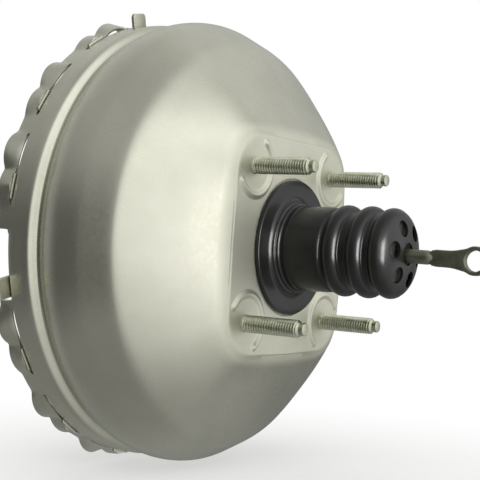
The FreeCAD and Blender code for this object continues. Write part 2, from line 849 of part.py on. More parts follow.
def diaphragms():
    """Rolling rubber diaphragms, each from its hub out to its clamped bead."""
    primary = turned("primary_diaphragm", [
        ("primary_centre_place", "neck_radius + soft_gap"),
        ("primary_centre_place", "primary_flat_radius"),
        ("primary_cone_place", "primary_cone_radius"),
        ("primary_wall_place", "primary_wall_radius + rubber_sheet"),
        ("primary_bead_rear", "primary_wall_radius + rubber_sheet"),
        ("primary_bead_rear", "flange_radius"),
        ("divider_rim_place", "flange_radius"),
        ("divider_rim_place", "primary_wall_radius"),
        ("primary_wall_place - rubber_sheet", "primary_wall_radius"),
        ("primary_cone_place - rubber_sheet", "primary_cone_radius"),
        ("primary_centre_place - rubber_sheet", "primary_flat_radius"),
        ("primary_centre_place - rubber_sheet", "neck_radius + soft_gap"),
    ])
    secondary = turned("secondary_diaphragm", [
        ("secondary_centre_place", "hub_radius + soft_gap"),
        ("secondary_centre_place", "secondary_flat_radius"),
        ("secondary_cone_place", "secondary_cone_radius"),
        ("fold_front_place + rubber_sheet", "fold_inner_radius"),
        ("fold_front_place + rubber_sheet", "fold_outer_radius - rubber_sheet"),
        ("divider_rim_place - divider_sheet", "fold_outer_radius"),
        ("divider_rim_place - divider_sheet", "flange_radius"),
        ("flange_rear_place", "flange_radius"),
        ("flange_rear_place", "fold_outer_radius + soft_gap"),
        ("fold_front_place", "fold_outer_radius"),
        ("fold_front_place", "fold_inner_radius"),
        ("secondary_cone_place - rubber_sheet", "secondary_cone_radius"),
        ("secondary_centre_place - rubber_sheet", "secondary_flat_radius"),
        ("secondary_centre_place - rubber_sheet", "hub_radius + soft_gap"),
    ])
    return [primary, secondary]


def support_plate(side, bore_radius, rim_place, rim_radius):
    """Pressed plate behind a diaphragm, with a forward lip at its rim."""
    centre = f"{side}_centre_place - rubber_sheet - soft_gap"
    cone = f"{rim_place} - rubber_sheet - soft_gap"
    return turned(f"{side}_support_plate", [
        (centre, bore_radius),
        (centre, f"{side}_flat_radius"),
        (cone, rim_radius),
        (f"{side}_lip_end", rim_radius),
        (f"{side}_lip_end", f"{rim_radius} - plate_sheet"),
        (f"{cone} - plate_sheet", f"{rim_radius} - plate_sheet"),
        (f"{centre} - plate_sheet", f"{side}_flat_radius"),
        (f"{centre} - plate_sheet", bore_radius),
    ])


def support_plates():
    """Plates of the primary and secondary diaphragms."""
    return [
        support_plate(
            "primary", "neck_radius + running_clearance", "primary_cone_place", "primary_cone_radius",
        ),
        support_plate(
            "secondary", "hub_radius + running_clearance", "secondary_plate_place", "secondary_plate_radius",
        ),
    ]


# Power piston and the valve in its neck
def power_piston():
    """Moulded piston: neck, hub, front flange, valve bores, vacuum ports and key slot."""
    hub_rear = "primary_centre_place - rubber_sheet - soft_gap - plate_sheet"
    flange_rear = "secondary_centre_place - rubber_sheet - soft_gap - plate_sheet"
    body = new_body("piston_moulding")
    revolve(body, [
        ("neck_end_place", "neck_radius"),
        (hub_rear, "neck_radius"),
        (hub_rear, "hub_radius"),
        (flange_rear, "hub_radius"),
        (flange_rear, "hub_flange_radius"),
        ("hub_front_place", "hub_flange_radius"),
        ("hub_front_place", "reaction_bore_radius"),
        ("reaction_bore_end", "reaction_bore_radius"),
        ("reaction_bore_end", "plunger_bore_radius"),
        ("0", "plunger_bore_radius"),
        ("0", "vacuum_seat_radius - vacuum_seat_half_width"),
        ("vacuum_seat_place", "vacuum_seat_radius - vacuum_seat_half_width"),
        ("vacuum_seat_place", "vacuum_seat_radius + vacuum_seat_half_width"),
        ("0", "vacuum_seat_radius + vacuum_seat_half_width"),
        ("0", "neck_bore_radius"),
        ("neck_end_place", "neck_bore_radius"),
    ])
    circle = "vacuum_port_circle"
    centres = [
        ("0", negative(circle)),
        (f"{COS_30}*{circle}", f"0.5*{circle}"),
        (f"- {COS_30}*{circle}", f"0.5*{circle}"),
    ]
    bore(body, "vacuum_ports", centres, "vacuum_port_radius", "0", "- hub_front_place")
    slot = primitive(
        "Part::Box", "key_slot", Length="key_thickness + 2*key_slot_clearance",
        Width="2*key_half_width + 2*key_slot_clearance", Height="neck_radius + wall - key_bottom",
    )
    slot.setExpression("Placement.Base.x", formula("key_place - key_slot_clearance"))
    slot.setExpression("Placement.Base.y", formula("- key_half_width - key_slot_clearance"))
    slot.setExpression("Placement.Base.z", formula("key_bottom - key_slot_clearance"))
    return [reduced("power_piston", body, slot)]


def valve_stop_key():
    """Forked plate that limits the air valve's travel in the piston."""
    plate = primitive(
        "Part::Box", "key_plate", Length="key_thickness", Width="2*key_half_width",
        Height="key_top - key_bottom",
    )
    for axis, text in (("x", "key_place"), ("y", "- key_half_width"), ("z", "key_bottom")):
        plate.setExpression(f"Placement.Base.{axis}", formula(text))
    fork = primitive(
        "Part::Box", "fork_slot", Length="key_thickness", Width="2*key_fork_radius", Height="- key_bottom"
    )
    for axis, text in (("x", "key_place"), ("y", "- key_fork_radius"), ("z", "key_bottom")):
        fork.setExpression(f"Placement.Base.{axis}", formula(text))
    crown = primitive("Part::Cylinder", "fork_crown", Radius="key_fork_radius", Height="key_thickness")
    crown.Placement = Placement(Vector(), Rotation(Vector(0, 1, 0), 90))
    crown.setExpression("Placement.Base.x", formula("key_place"))
    return [reduced("valve_stop_key", plate, joined("fork_opening", [fork, crown]))]


def air_valve():
    """Plunger with its key and seal grooves, air seat, and the socket of the push rod's ball."""
    plunger = "plunger_bore_radius - running_clearance"
    groove_front = "key_place - key_slot_clearance"
    valve = turned("air_valve", [
        ("air_valve_front", "0"),
        ("air_valve_front", plunger),
        ("seal_groove_place", plunger),
        ("seal_groove_place", "seal_groove_radius"),
        ("seal_groove_place + seal_groove_width", "seal_groove_radius"),
        ("seal_groove_place + seal_groove_width", plunger),
        (groove_front, plunger),
        (groove_front, "key_groove_radius"),
        (f"{groove_front} + key_groove_width", "key_groove_radius"),
        (f"{groove_front} + key_groove_width", plunger),
        ("air_seat_place - air_seat_thickness", plunger),
        ("air_seat_place - air_seat_thickness", "air_seat_radius"),
        ("air_seat_place", "air_seat_radius"),
        ("air_seat_place", "socket_radius"),
        ("socket_end", "socket_radius"),
        ("socket_end", "socket_mouth_flare"),
        ("ball_place + 3*socket_unit", "4*socket_unit"),
        ("ball_place - 5*socket_unit", "0", "5*socket_unit", 1),
    ])
    seal = new_body("air_valve_seal")
    section = new_sketch(seal, "seal_section")
    circles(
        section, [("seal_groove_place + 0.5*seal_groove_width", "plunger_bore_radius - running_clearance - seal_wire")],
        "seal_wire",
    )
    ring = seal.newObject("PartDesign::Revolution", "seal_ring")
    ring.Profile = section
    ring.ReferenceAxis = (section, ["H_Axis"])
    ring.Angle = 360
    return [valve, seal]


def on_droop(body):
    """Lean a push rod piece down about the centre of the ball."""
    body.Placement = Placement(
        Vector(), Rotation(Vector(0, 1, 0), amount("rod_droop")), Vector(amount("ball_place"), 0, 0)
    )
    return body


def push_rod():
    """Ball, neck, spring collar, round shank, and the flattened end with its pedal eye."""
    body = new_body("push_rod")
    revolve(body, [
        ("ball_place - 5*ball_unit", "0", "5*ball_unit", 1),
        ("rod_flat_start", "0"),
        ("rod_flat_start", "rod_flat_half_thickness"),
        ("rod_ramp_start", "rod_radius"),
        ("rod_collar_rear", "rod_radius"),
        ("rod_collar_rear", "rod_collar_radius"),
        ("rod_collar_front", "rod_collar_radius"),
        ("rod_collar_front", "3*ball_unit"),
        ("ball_place + 4*ball_unit", "3*ball_unit"),
    ])
    flat = new_sketch(body, "flat_section", "XZ_Plane", "- rod_flat_half_thickness")
    outline(flat, [
        ("rod_ramp_start - wall", "rod_flat_root"),
        ("rod_ramp_start - wall", "- rod_flat_root"),
        ("rod_flat_start", "- rod_neck_half_height"),
        ("rod_neck_end", "- rod_neck_half_height"),
        ("eye_place - 0.6*eye_radius", "- 0.8*eye_radius"),
        ("eye_place + eye_radius", "0", "eye_radius", 1),
        ("eye_place - 0.6*eye_radius", "0.8*eye_radius", "eye_radius", 1),
        ("rod_neck_end", "rod_neck_half_height"),
        ("rod_flat_start", "rod_neck_half_height"),
    ])
    circles(flat, [("eye_place", "0")], "eye_hole_radius")
    document.recompute()
    pad = body.newObject("PartDesign::Pad", "flat_end")
    pad.Profile = flat
    pad.Length = amount("2*rod_flat_half_thickness")
    pad.setExpression("Length", formula("2*rod_flat_half_thickness"))
    document.recompute()
    round_the_hole = 2 * math.pi * amount("eye_hole_radius")
    hole_edges = [
        f"Edge{number}"
        for number, edge in enumerate(pad.Shape.Edges, 1)
        if abs(edge.Length - round_the_hole) < TINY
    ]
    chamfer = body.newObject("PartDesign::Chamfer", "eye_chamfer_cut")
    chamfer.Base = (pad, hole_edges)
    chamfer.Size = amount("eye_chamfer")
    chamfer.setExpression("Size", formula("eye_chamfer"))
    seat = turned("rod_spring_seat", [
        ("rod_seat_place", "3*ball_unit + running_clearance"),
        ("rod_seat_place", "rod_seat_radius"),
        ("rod_seat_place + rod_seat_thickness", "rod_seat_radius"),
        ("rod_seat_place + rod_seat_thickness", "rod_collar_radius + wall"),
        ("rod_collar_front", "rod_collar_radius + wall"),
        ("rod_collar_front", "3*ball_unit + running_clearance"),
    ])
    return [on_droop(body), on_droop(seat)]


def control_valve():
    """Floating rubber valve, the ring moulded to its face, and the cup that holds it."""
    rear = "control_face_place + control_face_thickness"
    valve = turned("control_valve", [
        ("control_face_place", "control_face_hole"),
        ("control_face_place", "control_face_radius"),
        (rear, "control_face_radius"),
        (rear, "control_tube_radius"),
        ("control_tube_end", "control_tube_radius"),
        ("control_tube_end", "control_tube_radius - insert_sheet"),
        (rear, "control_tube_radius - insert_sheet"),
        (rear, "control_face_hole"),
    ])
    insert = turned("control_valve_insert", [
        (rear, "control_tube_radius + running_clearance"),
        (rear, "control_face_radius"),
        (f"{rear} + insert_sheet", "control_face_radius"),
        (f"{rear} + insert_sheet", "control_tube_radius + running_clearance"),
    ])
    retainer = turned("valve_retainer", [
        ("retainer_place", "retainer_hole"),
        ("retainer_place", "ring_radius - insert_sheet"),
        ("retainer_cup_place", "ring_radius - insert_sheet"),
        ("retainer_cup_place", "ring_radius"),
        ("retainer_place + retainer_thickness", "ring_radius"),
        ("retainer_place + retainer_thickness", "retainer_hole"),
    ])
    return [valve, insert, retainer]


def spring_between(label, wire, radius, front, rear, turns):
    """Coil with a soft gap at both of its seats."""
    inset = f"soft_gap + {wire}"
    length = f"{rear} {negative(front)} - 2*soft_gap - 2*{wire}"
    return coil(label, wire, radius, f"{front} + {inset}", length, turns)


def springs():
    """Control valve, rod return, piston return and check valve springs."""
    insert_rear = "control_face_place + control_face_thickness + insert_sheet"
    return [
        spring_between(
            "control_valve_spring", "small_spring_wire", "small_spring_radius",
            insert_rear, "retainer_place", SMALL_SPRING_TURNS,
        ),
        spring_between(
            "valve_return_spring", "return_spring_wire", "return_spring_radius",
            "retainer_place + retainer_thickness", "rod_seat_place", SMALL_SPRING_TURNS,
        ),
        spring_between(
            "piston_return_spring", "piston_spring_wire", "piston_spring_radius",
            "pad_place + wall", "hub_front_place", PISTON_SPRING_TURNS,
        ),
        on_check_axis(spring_between(
            "check_valve_spring", "check_spring_wire", "check_spring_radius",
            "check_split_place", "check_seat_place - running_clearance - check_disc_thickness",
            CHECK_SPRING_TURNS,
        )),
    ]


def filters():
    """Foam filter, felt silencer, and the pressed ring between them."""
    foam = turned("air_filter", [
        ("filter_start", "filter_hole"),
        ("filter_start", "filter_radius"),
        ("filter_end", "filter_radius"),
        ("filter_end", "filter_hole"),
    ])
    ring = turned("silencer_retainer", [
        ("filter_end", "silencer_ring_hole"),
        ("filter_end", "ring_radius"),
        ("silencer_start", "ring_radius"),
        ("silencer_start", "silencer_ring_hole"),
    ])
    felt = turned("filter_silencer", [
        ("silencer_start", "filter_hole"),
        ("silencer_start", "filter_radius"),
        ("silencer_shoulder", "filter_radius"),
        ("silencer_shoulder", "silencer_radius"),
        ("silencer_end", "silencer_radius"),
        ("silencer_end", "filter_hole"),
    ])
    return [foam, ring, felt]


# Output side
def output_parts():
    """Reaction disc, output rod with its head, and the ring that keeps the head in its bore."""
    disc_front = "reaction_bore_end - reaction_disc_thickness"
    head_front = f"{disc_front} - output_head_thickness"
    disc = turned("reaction_disc", [
        (disc_front, "0"),
        (disc_front, "output_head_radius"),
        ("reaction_bore_end", "output_head_radius"),
        ("reaction_bore_end", "0"),
    ])
    rod = turned("output_rod", [
        ("output_tip_end", "0"),
        ("output_tip_end", "output_tip_radius - output_tip_chamfer"),
        ("output_tip_end + output_tip_chamfer", "output_tip_radius"),
        ("output_tip_start", "output_tip_radius"),
        ("output_tip_start", "output_rod_radius"),
        (head_front, "output_rod_radius"),
        (head_front, "output_head_radius"),
        (disc_front, "output_head_radius"),
        (disc_front, "0"),
    ])
    bore_radius = "reaction_bore_radius - running_clearance"
    ring = turned("output_rod_retainer", [
        (head_front, "output_rod_radius + running_clearance"),
        (head_front, bore_radius),
        ("hub_front_place", bore_radius),
        ("hub_front_place", f"{bore_radius} - retainer_sheet"),
        (f"{head_front} - retainer_sheet", f"{bore_radius} - retainer_sheet"),
        (f"{head_front} - retainer_sheet", "output_rod_radius + running_clearance"),
    ])
    return [disc, rod, ring]


# Boot
def boot():
    """Rubber boot: flange, lip, two folds, capped end with a rod hole and six vents."""
    body = new_body("boot")
    inner_valley = "boot_valley_radius - boot_wall"
    corners = [
        ("- boot_seat_depth", "boot_tube_radius - boot_wall"),
        ("- boot_seat_depth", "boot_flange_radius"),
        ("boot_flange_thickness", "boot_flange_radius"),
        ("boot_flange_thickness", "boot_lip_radius"),
        ("2*boot_flange_thickness", "boot_lip_radius"),
        ("boot_tube_place", "boot_tube_radius"),
        ("boot_tube_end", "boot_tube_radius"),
    ]
    for fold in ("boot_first_fold", "boot_second_fold"):
        corners.append((f"{fold} - boot_fold_half", "boot_valley_radius"))
        corners.append((f"{fold} + boot_fold_half", "boot_valley_radius", "boot_fold_round", -1))
    corners += [
        ("boot_cap_start", "boot_cap_radius"),
        ("boot_cap_place", "boot_cap_radius"),
        ("boot_end_place", "boot_end_radius", "boot_end_round", -1),
        ("boot_end_place", "boot_hole_radius"),
        ("boot_end_place - boot_wall", "boot_hole_radius"),
        ("boot_end_place - boot_wall", "boot_end_radius"),
        ("boot_cap_place", "boot_cap_radius - boot_wall", "boot_end_round - boot_wall", 1),
        ("boot_cap_start + boot_wall", "boot_cap_radius - boot_wall"),
    ]
    for fold in ("boot_second_fold", "boot_first_fold"):
        corners.append((f"{fold} + boot_fold_inner_half", inner_valley))
        corners.append((
            f"{fold} - boot_fold_inner_half", inner_valley, "boot_fold_round - boot_wall", 1,
        ))
    corners.append(("boot_tube_end", "boot_tube_radius - boot_wall"))
    revolve(body, corners)
    vent_places = []
    for vent in range(VENTS):
        angle = math.radians(amount("vent_angle") + 360 / VENTS * vent)
        vent_places.append((f"- {math.cos(angle):.6f}*vent_circle", f"{math.sin(angle):.6f}*vent_circle"))
    bore(body, "vents", vent_places, "vent_radius", "boot_end_place + boot_wall", "5*boot_wall")
    return [body]


# Vacuum check valve
def on_check_axis(body):
    """Lift a piece turned about X to the check valve's own axis."""
    body.setExpression("Placement.Base.z", formula("check_valve_height"))
    return body


def check_valve():
    """Grommet, valve body with its inlet, disc, and the hose nipple that closes the body."""
    outside = "front_face_place - grommet_lip"
    grommet = turned("check_valve_grommet", [
        ("front_face_place + wall + grommet_lip", "check_stem_radius"),
        ("front_face_place + wall + grommet_lip", "grommet_hole_radius + grommet_lip"),
        ("front_face_place + wall", "grommet_hole_radius + grommet_lip"),
        ("front_face_place + wall", "grommet_hole_radius"),
        ("front_face_place", "grommet_hole_radius"),
        ("front_face_place", "check_body_radius"),
        (outside, "check_body_radius"),
        (outside, "check_stem_radius"),
    ])
    valve_body = turned("check_valve_body", [
        ("check_inlet_place", "check_inlet_radius"),
        ("check_inlet_place", "check_stem_radius"),
        (outside, "check_stem_radius"),
        (outside, "check_body_radius"),
        ("check_split_place", "check_body_radius"),
        ("check_split_place", "check_chamber_radius"),
        ("check_seat_place", "check_chamber_radius"),
        ("check_seat_place", "check_inlet_radius"),
    ])
    disc_rear = "check_seat_place - running_clearance"
    disc = turned("check_valve_disc", [
        (disc_rear, "0"),
        (disc_rear, "check_disc_radius"),
        (f"{disc_rear} - check_disc_thickness", "check_disc_radius"),
        (f"{disc_rear} - check_disc_thickness", "0"),
    ])
    nipple = turned("check_valve_nipple", [
        ("check_split_place", "nipple_bore_radius"),
        ("check_split_place", "check_body_radius"),
        ("nipple_base_place", "check_body_radius"),
        ("nipple_base_place", "nipple_radius"),
        ("nipple_barb_place", "nipple_radius"),
        ("nipple_barb_place", "nipple_barb_radius"),
        ("nipple_end_place", "nipple_radius - nipple_tip"),
        ("nipple_end_place", "nipple_bore_radius"),
    ])
    return [on_check_axis(piece) for piece in (grommet, valve_body, disc, nipple)]


def check_states():
    """Stop where an object failed or a piece is empty or broken."""
    for thing in document.Objects:
        if "Invalid" in thing.State or "Error" in thing.State:
            raise RuntimeError(f"{thing.Name} failed: {thing.State}")


def write_pieces(pieces):
    """Check every sub-part and write it under its own name."""
    os.makedirs("parts", exist_ok=True)
    for piece in pieces:
        shape = piece.Shape
        if shape.isNull() or not shape.isValid():
            raise RuntimeError(f"{piece.Label}: the shape is null or not valid")
        shape.exportStep(f"parts/{piece.Label}.step")
        box = shape.BoundBox
        print(
            f"{piece.Label}: {len(shape.Solids)} solid, {shape.Volume / 1000:.2f} cubic cm, "
            f"X {box.XMin:.1f} to {box.XMax:.1f}, Y {box.YMin:.1f} to {box.YMax:.1f}, "
            f"Z {box.ZMin:.1f} to {box.ZMax:.1f}"
        )


def main():
    """Build the booster and write its pieces."""
    make_sheet()
    pieces = rear_housing() + mounting_studs() + front_housing() + master_cylinder_studs()
    pieces += housing_divider() + seals() + diaphragms() + support_plates()
    pieces += power_piston() + valve_stop_key() + air_valve() + push_rod() + control_valve()
    pieces += springs() + filters() + output_parts() + boot() + check_valve()
    document.recompute()
    check_states()
    write_pieces(pieces)


main()
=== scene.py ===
"""Looks of a tandem vacuum brake booster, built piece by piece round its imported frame.

The frame is in metres: +X runs along the booster's axis towards the pedal, +Z is up, and the origin is
the centre of the stud square on the rear mounting face. Sections are written in millimetres.
"""
import math

import bmesh
import bpy
from mathutils import Matrix, Vector, noise


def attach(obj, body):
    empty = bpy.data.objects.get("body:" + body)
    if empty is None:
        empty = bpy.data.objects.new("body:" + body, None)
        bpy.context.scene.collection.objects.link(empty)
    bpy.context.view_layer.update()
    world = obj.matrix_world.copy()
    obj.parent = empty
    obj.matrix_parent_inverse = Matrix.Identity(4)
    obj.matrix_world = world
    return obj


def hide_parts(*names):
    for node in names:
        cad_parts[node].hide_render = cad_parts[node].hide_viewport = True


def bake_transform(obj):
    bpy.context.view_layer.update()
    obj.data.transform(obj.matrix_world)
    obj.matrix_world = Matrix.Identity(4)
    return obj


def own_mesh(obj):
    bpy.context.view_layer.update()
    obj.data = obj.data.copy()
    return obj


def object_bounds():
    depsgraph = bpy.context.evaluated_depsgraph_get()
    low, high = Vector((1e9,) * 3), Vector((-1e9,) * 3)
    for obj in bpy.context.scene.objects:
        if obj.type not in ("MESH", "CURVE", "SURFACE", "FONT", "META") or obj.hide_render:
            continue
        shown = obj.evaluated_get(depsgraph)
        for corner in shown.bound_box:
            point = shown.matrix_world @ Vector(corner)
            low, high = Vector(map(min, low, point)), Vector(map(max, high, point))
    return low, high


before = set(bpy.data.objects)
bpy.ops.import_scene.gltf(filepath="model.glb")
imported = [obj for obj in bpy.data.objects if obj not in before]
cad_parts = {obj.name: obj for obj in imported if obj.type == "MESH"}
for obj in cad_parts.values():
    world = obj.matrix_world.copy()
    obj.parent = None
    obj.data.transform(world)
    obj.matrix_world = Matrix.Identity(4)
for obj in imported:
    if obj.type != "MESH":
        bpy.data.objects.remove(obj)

CAD_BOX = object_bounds()

bl_info = {
    "name": "Vacuum Brake Booster",
    "version": (1, 0, 0),
    "blender": (4, 5, 0),
    "location": "View3D > Sidebar > Booster",
    "description": "Builds the shells, studs, boot, push rod and springs of a vacuum brake booster",
    "category": "Object",
}

MM = 0.001
FULL_TURN = math.tau
QUARTERS = (0.0, 90.0, 180.0, 270.0)
WELD_DISTANCE = 2e-6
NO_LIMIT = 1000.0
# The Mix node's colour sockets go by number, because its other types use the same names.
COLOUR_A, COLOUR_B, COLOUR_RESULT = 6, 7, 2
# Roughness that the flat face has above the drawn sides, and the places between which it comes in.
FACE_MATTE = 0.26
FACE_FADE = (-0.004, -0.001)
# Weave and tool lines are drawn at 5 mm and 2 mm, coarser than the real 0.8 mm and 0.3 mm, so that they show.
THREAD_GAP = 5.03
TOOL_LINE_GAP = 2.07
WAVE_RATE = 20.0


def linear(code):
    """Linear colour with alpha from an sRGB hex value such as #C8C6B8."""
    parts = [int(code[place:place + 2], 16) / 255 for place in (1, 3, 5)]
    return [part / 12.92 if part <= 0.04045 else ((part + 0.055) / 1.055) ** 2.4 for part in parts] + [1.0]


def length_setting(label, text, default):
    """Length that a user may change, in metres with its unit shown."""
    return bpy.props.FloatProperty(name=label, description=text, default=default, min=0.0, unit="LENGTH")


def colour_setting(label, text, code):
    """Colour that a user may change, from its sRGB hex value."""
    return bpy.props.FloatVectorProperty(
        name=label, description=text, subtype="COLOR", size=4, min=0.0, max=1.0, default=linear(code)
    )


class BoosterSizes(bpy.types.PropertyGroup):
    """Sizes of the pressed, threaded and moulded details."""

    shell_wall: length_setting("Shell wall", "Thickness of the pressed shells", 0.002)
    rib_ring: length_setting("Rib radius", "Radius of the raised rib round each stud", 0.016)
    rib_width: length_setting("Rib half width", "Half the width of the raised rib", 0.0029)
    rib_height: length_setting("Rib height", "Height of the raised rib above the face", 0.0015)
    stud_pitch: length_setting("Stud thread pitch", "Pitch of the studs, 16 turns to the inch", 0.0015875)
    master_pitch: length_setting("Front stud pitch", "Thread pitch of the master cylinder studs", 0.0015)
    cut_edge: length_setting("Cut edge", "Width of the rolled-over edge of the sheared plate", 0.0004)
    vent_radius: length_setting("Vent radius", "Radius of the boot's breather holes", 0.0045)
    piston_wire: length_setting("Piston spring wire", "Wire radius of the piston return spring", 0.0017)
    felt_fuzz: length_setting("Felt unevenness", "How far the silencer's fibres stand proud", 0.00022)


class BoosterColours(bpy.types.PropertyGroup):
    """Base colours of the finishes."""

    shell: colour_setting("Shell plate", "Satin zinc plate on the shells", "#E4E0D2")
    shell_film: colour_setting("Passivation film", "Faint olive film that clouds the plate", "#C9C8B4")
    # The cut edge's colour is brighter than the plate's: bare steel, and a painted highlight on the thin
    # edge.
    edge: colour_setting("Cut edge", "Bare sheared edge of the shell's steel", "#EFEDE4")
    stud: colour_setting("Studs", "Dull zinc plate on the rolled threads", "#DAD9CA")
    rod: colour_setting("Push rod", "Dark olive phosphate on forged steel", "#A3A291")
    boot: colour_setting("Boot rubber", "Carbon-black rubber of the boot", "#0F0F0E")
    seal: colour_setting("Seal rubber", "Black rubber of seals and grommets", "#151514")
    diaphragm: colour_setting("Diaphragm rubber", "Cloth-backed rubber of the diaphragms", "#242321")
    phenolic: colour_setting("Piston", "Dark filled phenolic of the power piston", "#2B231C")
    plate: colour_setting("Inner pressings", "Plain steel of the inner pressings", "#A9A79B")
    spring: colour_setting("Spring wire", "Oil-tempered spring wire", "#6E6C66")
    valve: colour_setting("Air valve", "Turned aluminium of the air valve", "#D6D5D0")
    felt: colour_setting("Silencer felt", "Grey needled felt of the silencer", "#55524B")
    foam: colour_setting("Filter foam", "Open-cell foam of the filter", "#34332F")
    nylon: colour_setting("Check valve nylon", "Black moulded nylon of the check valve", "#141416")
    floor: colour_setting("Floor", "Pale paper of the studio floor", "#F8F8F6")


# Finishes
def per_mm(size):
    """Texture scale on metre coordinates that gives a pattern of the given size in millimetres."""
    return 1.0 / (size * MM)


def per_wave(gap):
    """Wave texture scale on metre coordinates that sets its bands a gap in millimetres apart."""
    return per_mm(gap) * FULL_TURN / WAVE_RATE


def add(tree, kind, inputs=None, **settings):
    """Add a shader node with its settings; an input given as a socket is linked, any other value is set."""
    node = tree.nodes.new("ShaderNode" + kind)
    for name, value in settings.items():
        setattr(node, name, value)
    for name, value in (inputs or {}).items():
        if isinstance(value, bpy.types.NodeSocket):
            tree.links.new(value, node.inputs[name])
        else:
            node.inputs[name].default_value = value
    return node


def bare_material(name):
    """Material with an empty node tree."""
    made = bpy.data.materials.new(name)
    made.use_nodes = True
    made.node_tree.nodes.clear()
    return made, made.node_tree


def new_finish(name):
    """Empty finish with its tree and object coordinates."""
    made, tree = bare_material(name)
    return made, tree, add(tree, "TexCoord").outputs["Object"]


def closed_finish(made, factor, first, second, inputs):
    """Finish closed by its principled shader: a factor mixes its two colours, the other inputs are given."""
    tree = made.node_tree
    mix = add(tree, "Mix", {"Factor": factor, COLOUR_A: first, COLOUR_B: second}, data_type="RGBA")
    shader = add(tree, "BsdfPrincipled", {"Base Color": mix.outputs[COLOUR_RESULT], **inputs})
    add(tree, "OutputMaterial", {"Surface": shader.outputs["BSDF"]})
    return made


def wandering(tree, place, size, low, high, detail=3.0, unevenness=0.55, start=0.3, end=0.7):
    """Value that wanders from low to high in patches of a size in millimetres, over a span of the noise."""
    patches = add(
        tree, "TexNoise",
        {"Vector": place, "Scale": per_mm(size), "Detail": detail, "Roughness": unevenness},
    )
    ranged = add(
        tree, "MapRange",
        {"Value": patches.outputs["Fac"], "From Min": start, "From Max": end, "To Min": low, "To Max": high},
    )
    return ranged.outputs["Result"]


def relief(tree, place, size, height, strength, detail=3.0, unevenness=0.55, under=None):
    """Uneven skin, its grain in millimetres and its height in metres, over another skin if one is given."""
    grain = add(
        tree, "TexNoise",
        {"Vector": place, "Scale": per_mm(size), "Detail": detail, "Roughness": unevenness},
    )
    inputs = {"Height": grain.outputs["Fac"], "Distance": height, "Strength": strength}
    if under is not None:
        inputs["Normal"] = under
    return add(tree, "Bump", inputs).outputs["Normal"]


def toned(colour, *gains, lift=0.0):
    """Colour with its red, green and blue multiplied by their gains, or all by one, and lifted."""
    gains = gains * 3 if len(gains) == 1 else gains
    return [min(part * gain + lift, 1.0) for part, gain in zip(colour, gains)] + [1.0]


def mottled(name, first, second, tone, shine, skin, constants):
    """Finish that wanders in colour and roughness; tone and shine go to wandering(), skin to relief()."""
    made, tree, place = new_finish(name)
    inputs = {"Roughness": wandering(tree, place, *shine), "Normal": relief(tree, place, *skin), **constants}
    return closed_finish(made, wandering(tree, place, *tone), first, second, inputs)


def zinc_plated_pressed_steel(name, base, film, low, high):
    """Pressed steel with satin zinc plate: soft broad reflections, clouded by a thin olive film."""
    made, tree, place = new_finish(name)
    # The film varies over a few centimetres, and the rolled sheet's specks over about two millimetres.
    clouds = wandering(tree, place, 42.0, 0.0, 0.55, 4.0)
    specks = wandering(tree, place, 1.9, 0.0, 0.15, 2.0, 0.55, 0.58, 0.8)
    veil = add(tree, "Math", {0: clouds, 1: specks}, operation="MAXIMUM").outputs[0]
    # The die leaves the flat face matter than the drawn sides.
    along = add(tree, "SeparateXYZ", {"Vector": place}).outputs["X"]
    face = add(
        tree, "MapRange",
        {"Value": along, "From Min": FACE_FADE[0], "From Max": FACE_FADE[1], "To Max": FACE_MATTE},
    )
    grain = wandering(tree, place, 2.6, low, high, 5.0, 0.6)
    matte = add(tree, "Math", {0: grain, 1: face.outputs["Result"]}, operation="ADD")
    fine = relief(tree, place, 1.3, 0.000003, 0.3, 2.0)
    skin = relief(tree, place, 7.0, 0.000016, 0.4, 2.0, under=fine)
    inputs = {"Roughness": matte.outputs[0], "Normal": skin, "Metallic": 1.0}
    return closed_finish(made, veil, base, film, inputs)


def sheared_steel_edge(name, base):
    """Sheared edge of plated sheet: bare steel coloured brighter than the face, a painted highlight along the
    thin edge, with fine lines across the thickness.
    """
    return mottled(
        name, base, toned(base, 0.72), tone=(0.35, 0.0, 0.6, 3.0, 0.7), shine=(0.35, 0.3, 0.48, 3.0, 0.7),
        skin=(0.35, 0.00003, 0.7, 3.0, 0.7), constants={"Metallic": 1.0},
    )


def zinc_plated_thread(name, base):
    """Rolled thread with dull zinc plate: brighter and olive in patches."""
    return mottled(
        name, base, toned(base, 0.66, 0.69, 0.52), tone=(3.2, 0.0, 0.8), shine=(0.5, 0.3, 0.5),
        skin=(0.5, 0.00002, 0.6), constants={"Metallic": 1.0},
    )


def phosphated_forging(name, base):
    """Forged steel under dark phosphate: dull olive grey, slightly blotched and pitted."""
    return mottled(
        name, base, toned(base, 0.6, 0.63, 0.55), tone=(4.5, 0.0, 0.9, 4.0),
        shine=(0.6, 0.34, 0.55, 4.0, 0.65), skin=(0.6, 0.00005, 0.6, 4.0, 0.65), constants={"Metallic": 1.0},
    )


def moulded_rubber(name, base, low, high, bloom=0.35, coat=0.0, shine=0.5):
    """Moulded black rubber: soft sheen on a faintly pebbled skin, with a grey bloom in patches."""
    # The skin's fine pores take away part of the shine.
    constants = {"IOR": 1.52, "Specular IOR Level": shine, "Coat Weight": coat, "Coat Roughness": 0.2}
    return mottled(
        name, base, toned(base, 2.6, lift=0.012), tone=(11.0, 0.0, bloom, 4.0, 0.55, 0.45, 0.8),
        shine=(5.0, low, high), skin=(0.9, 0.00004, 0.55, 3.0, 0.6), constants=constants,
    )


def filled_phenolic(name, base):
    """Phenolic filled with wood flour: dark brown, semi-matte, flecked at half a millimetre."""
    return mottled(
        name, base, toned(base, 2.4), tone=(0.55, 0.0, 0.7, 3.0, 0.7, 0.52, 0.75), shine=(3.0, 0.35, 0.55),
        skin=(1.2, 0.00003, 0.5), constants={"IOR": 1.6},
    )


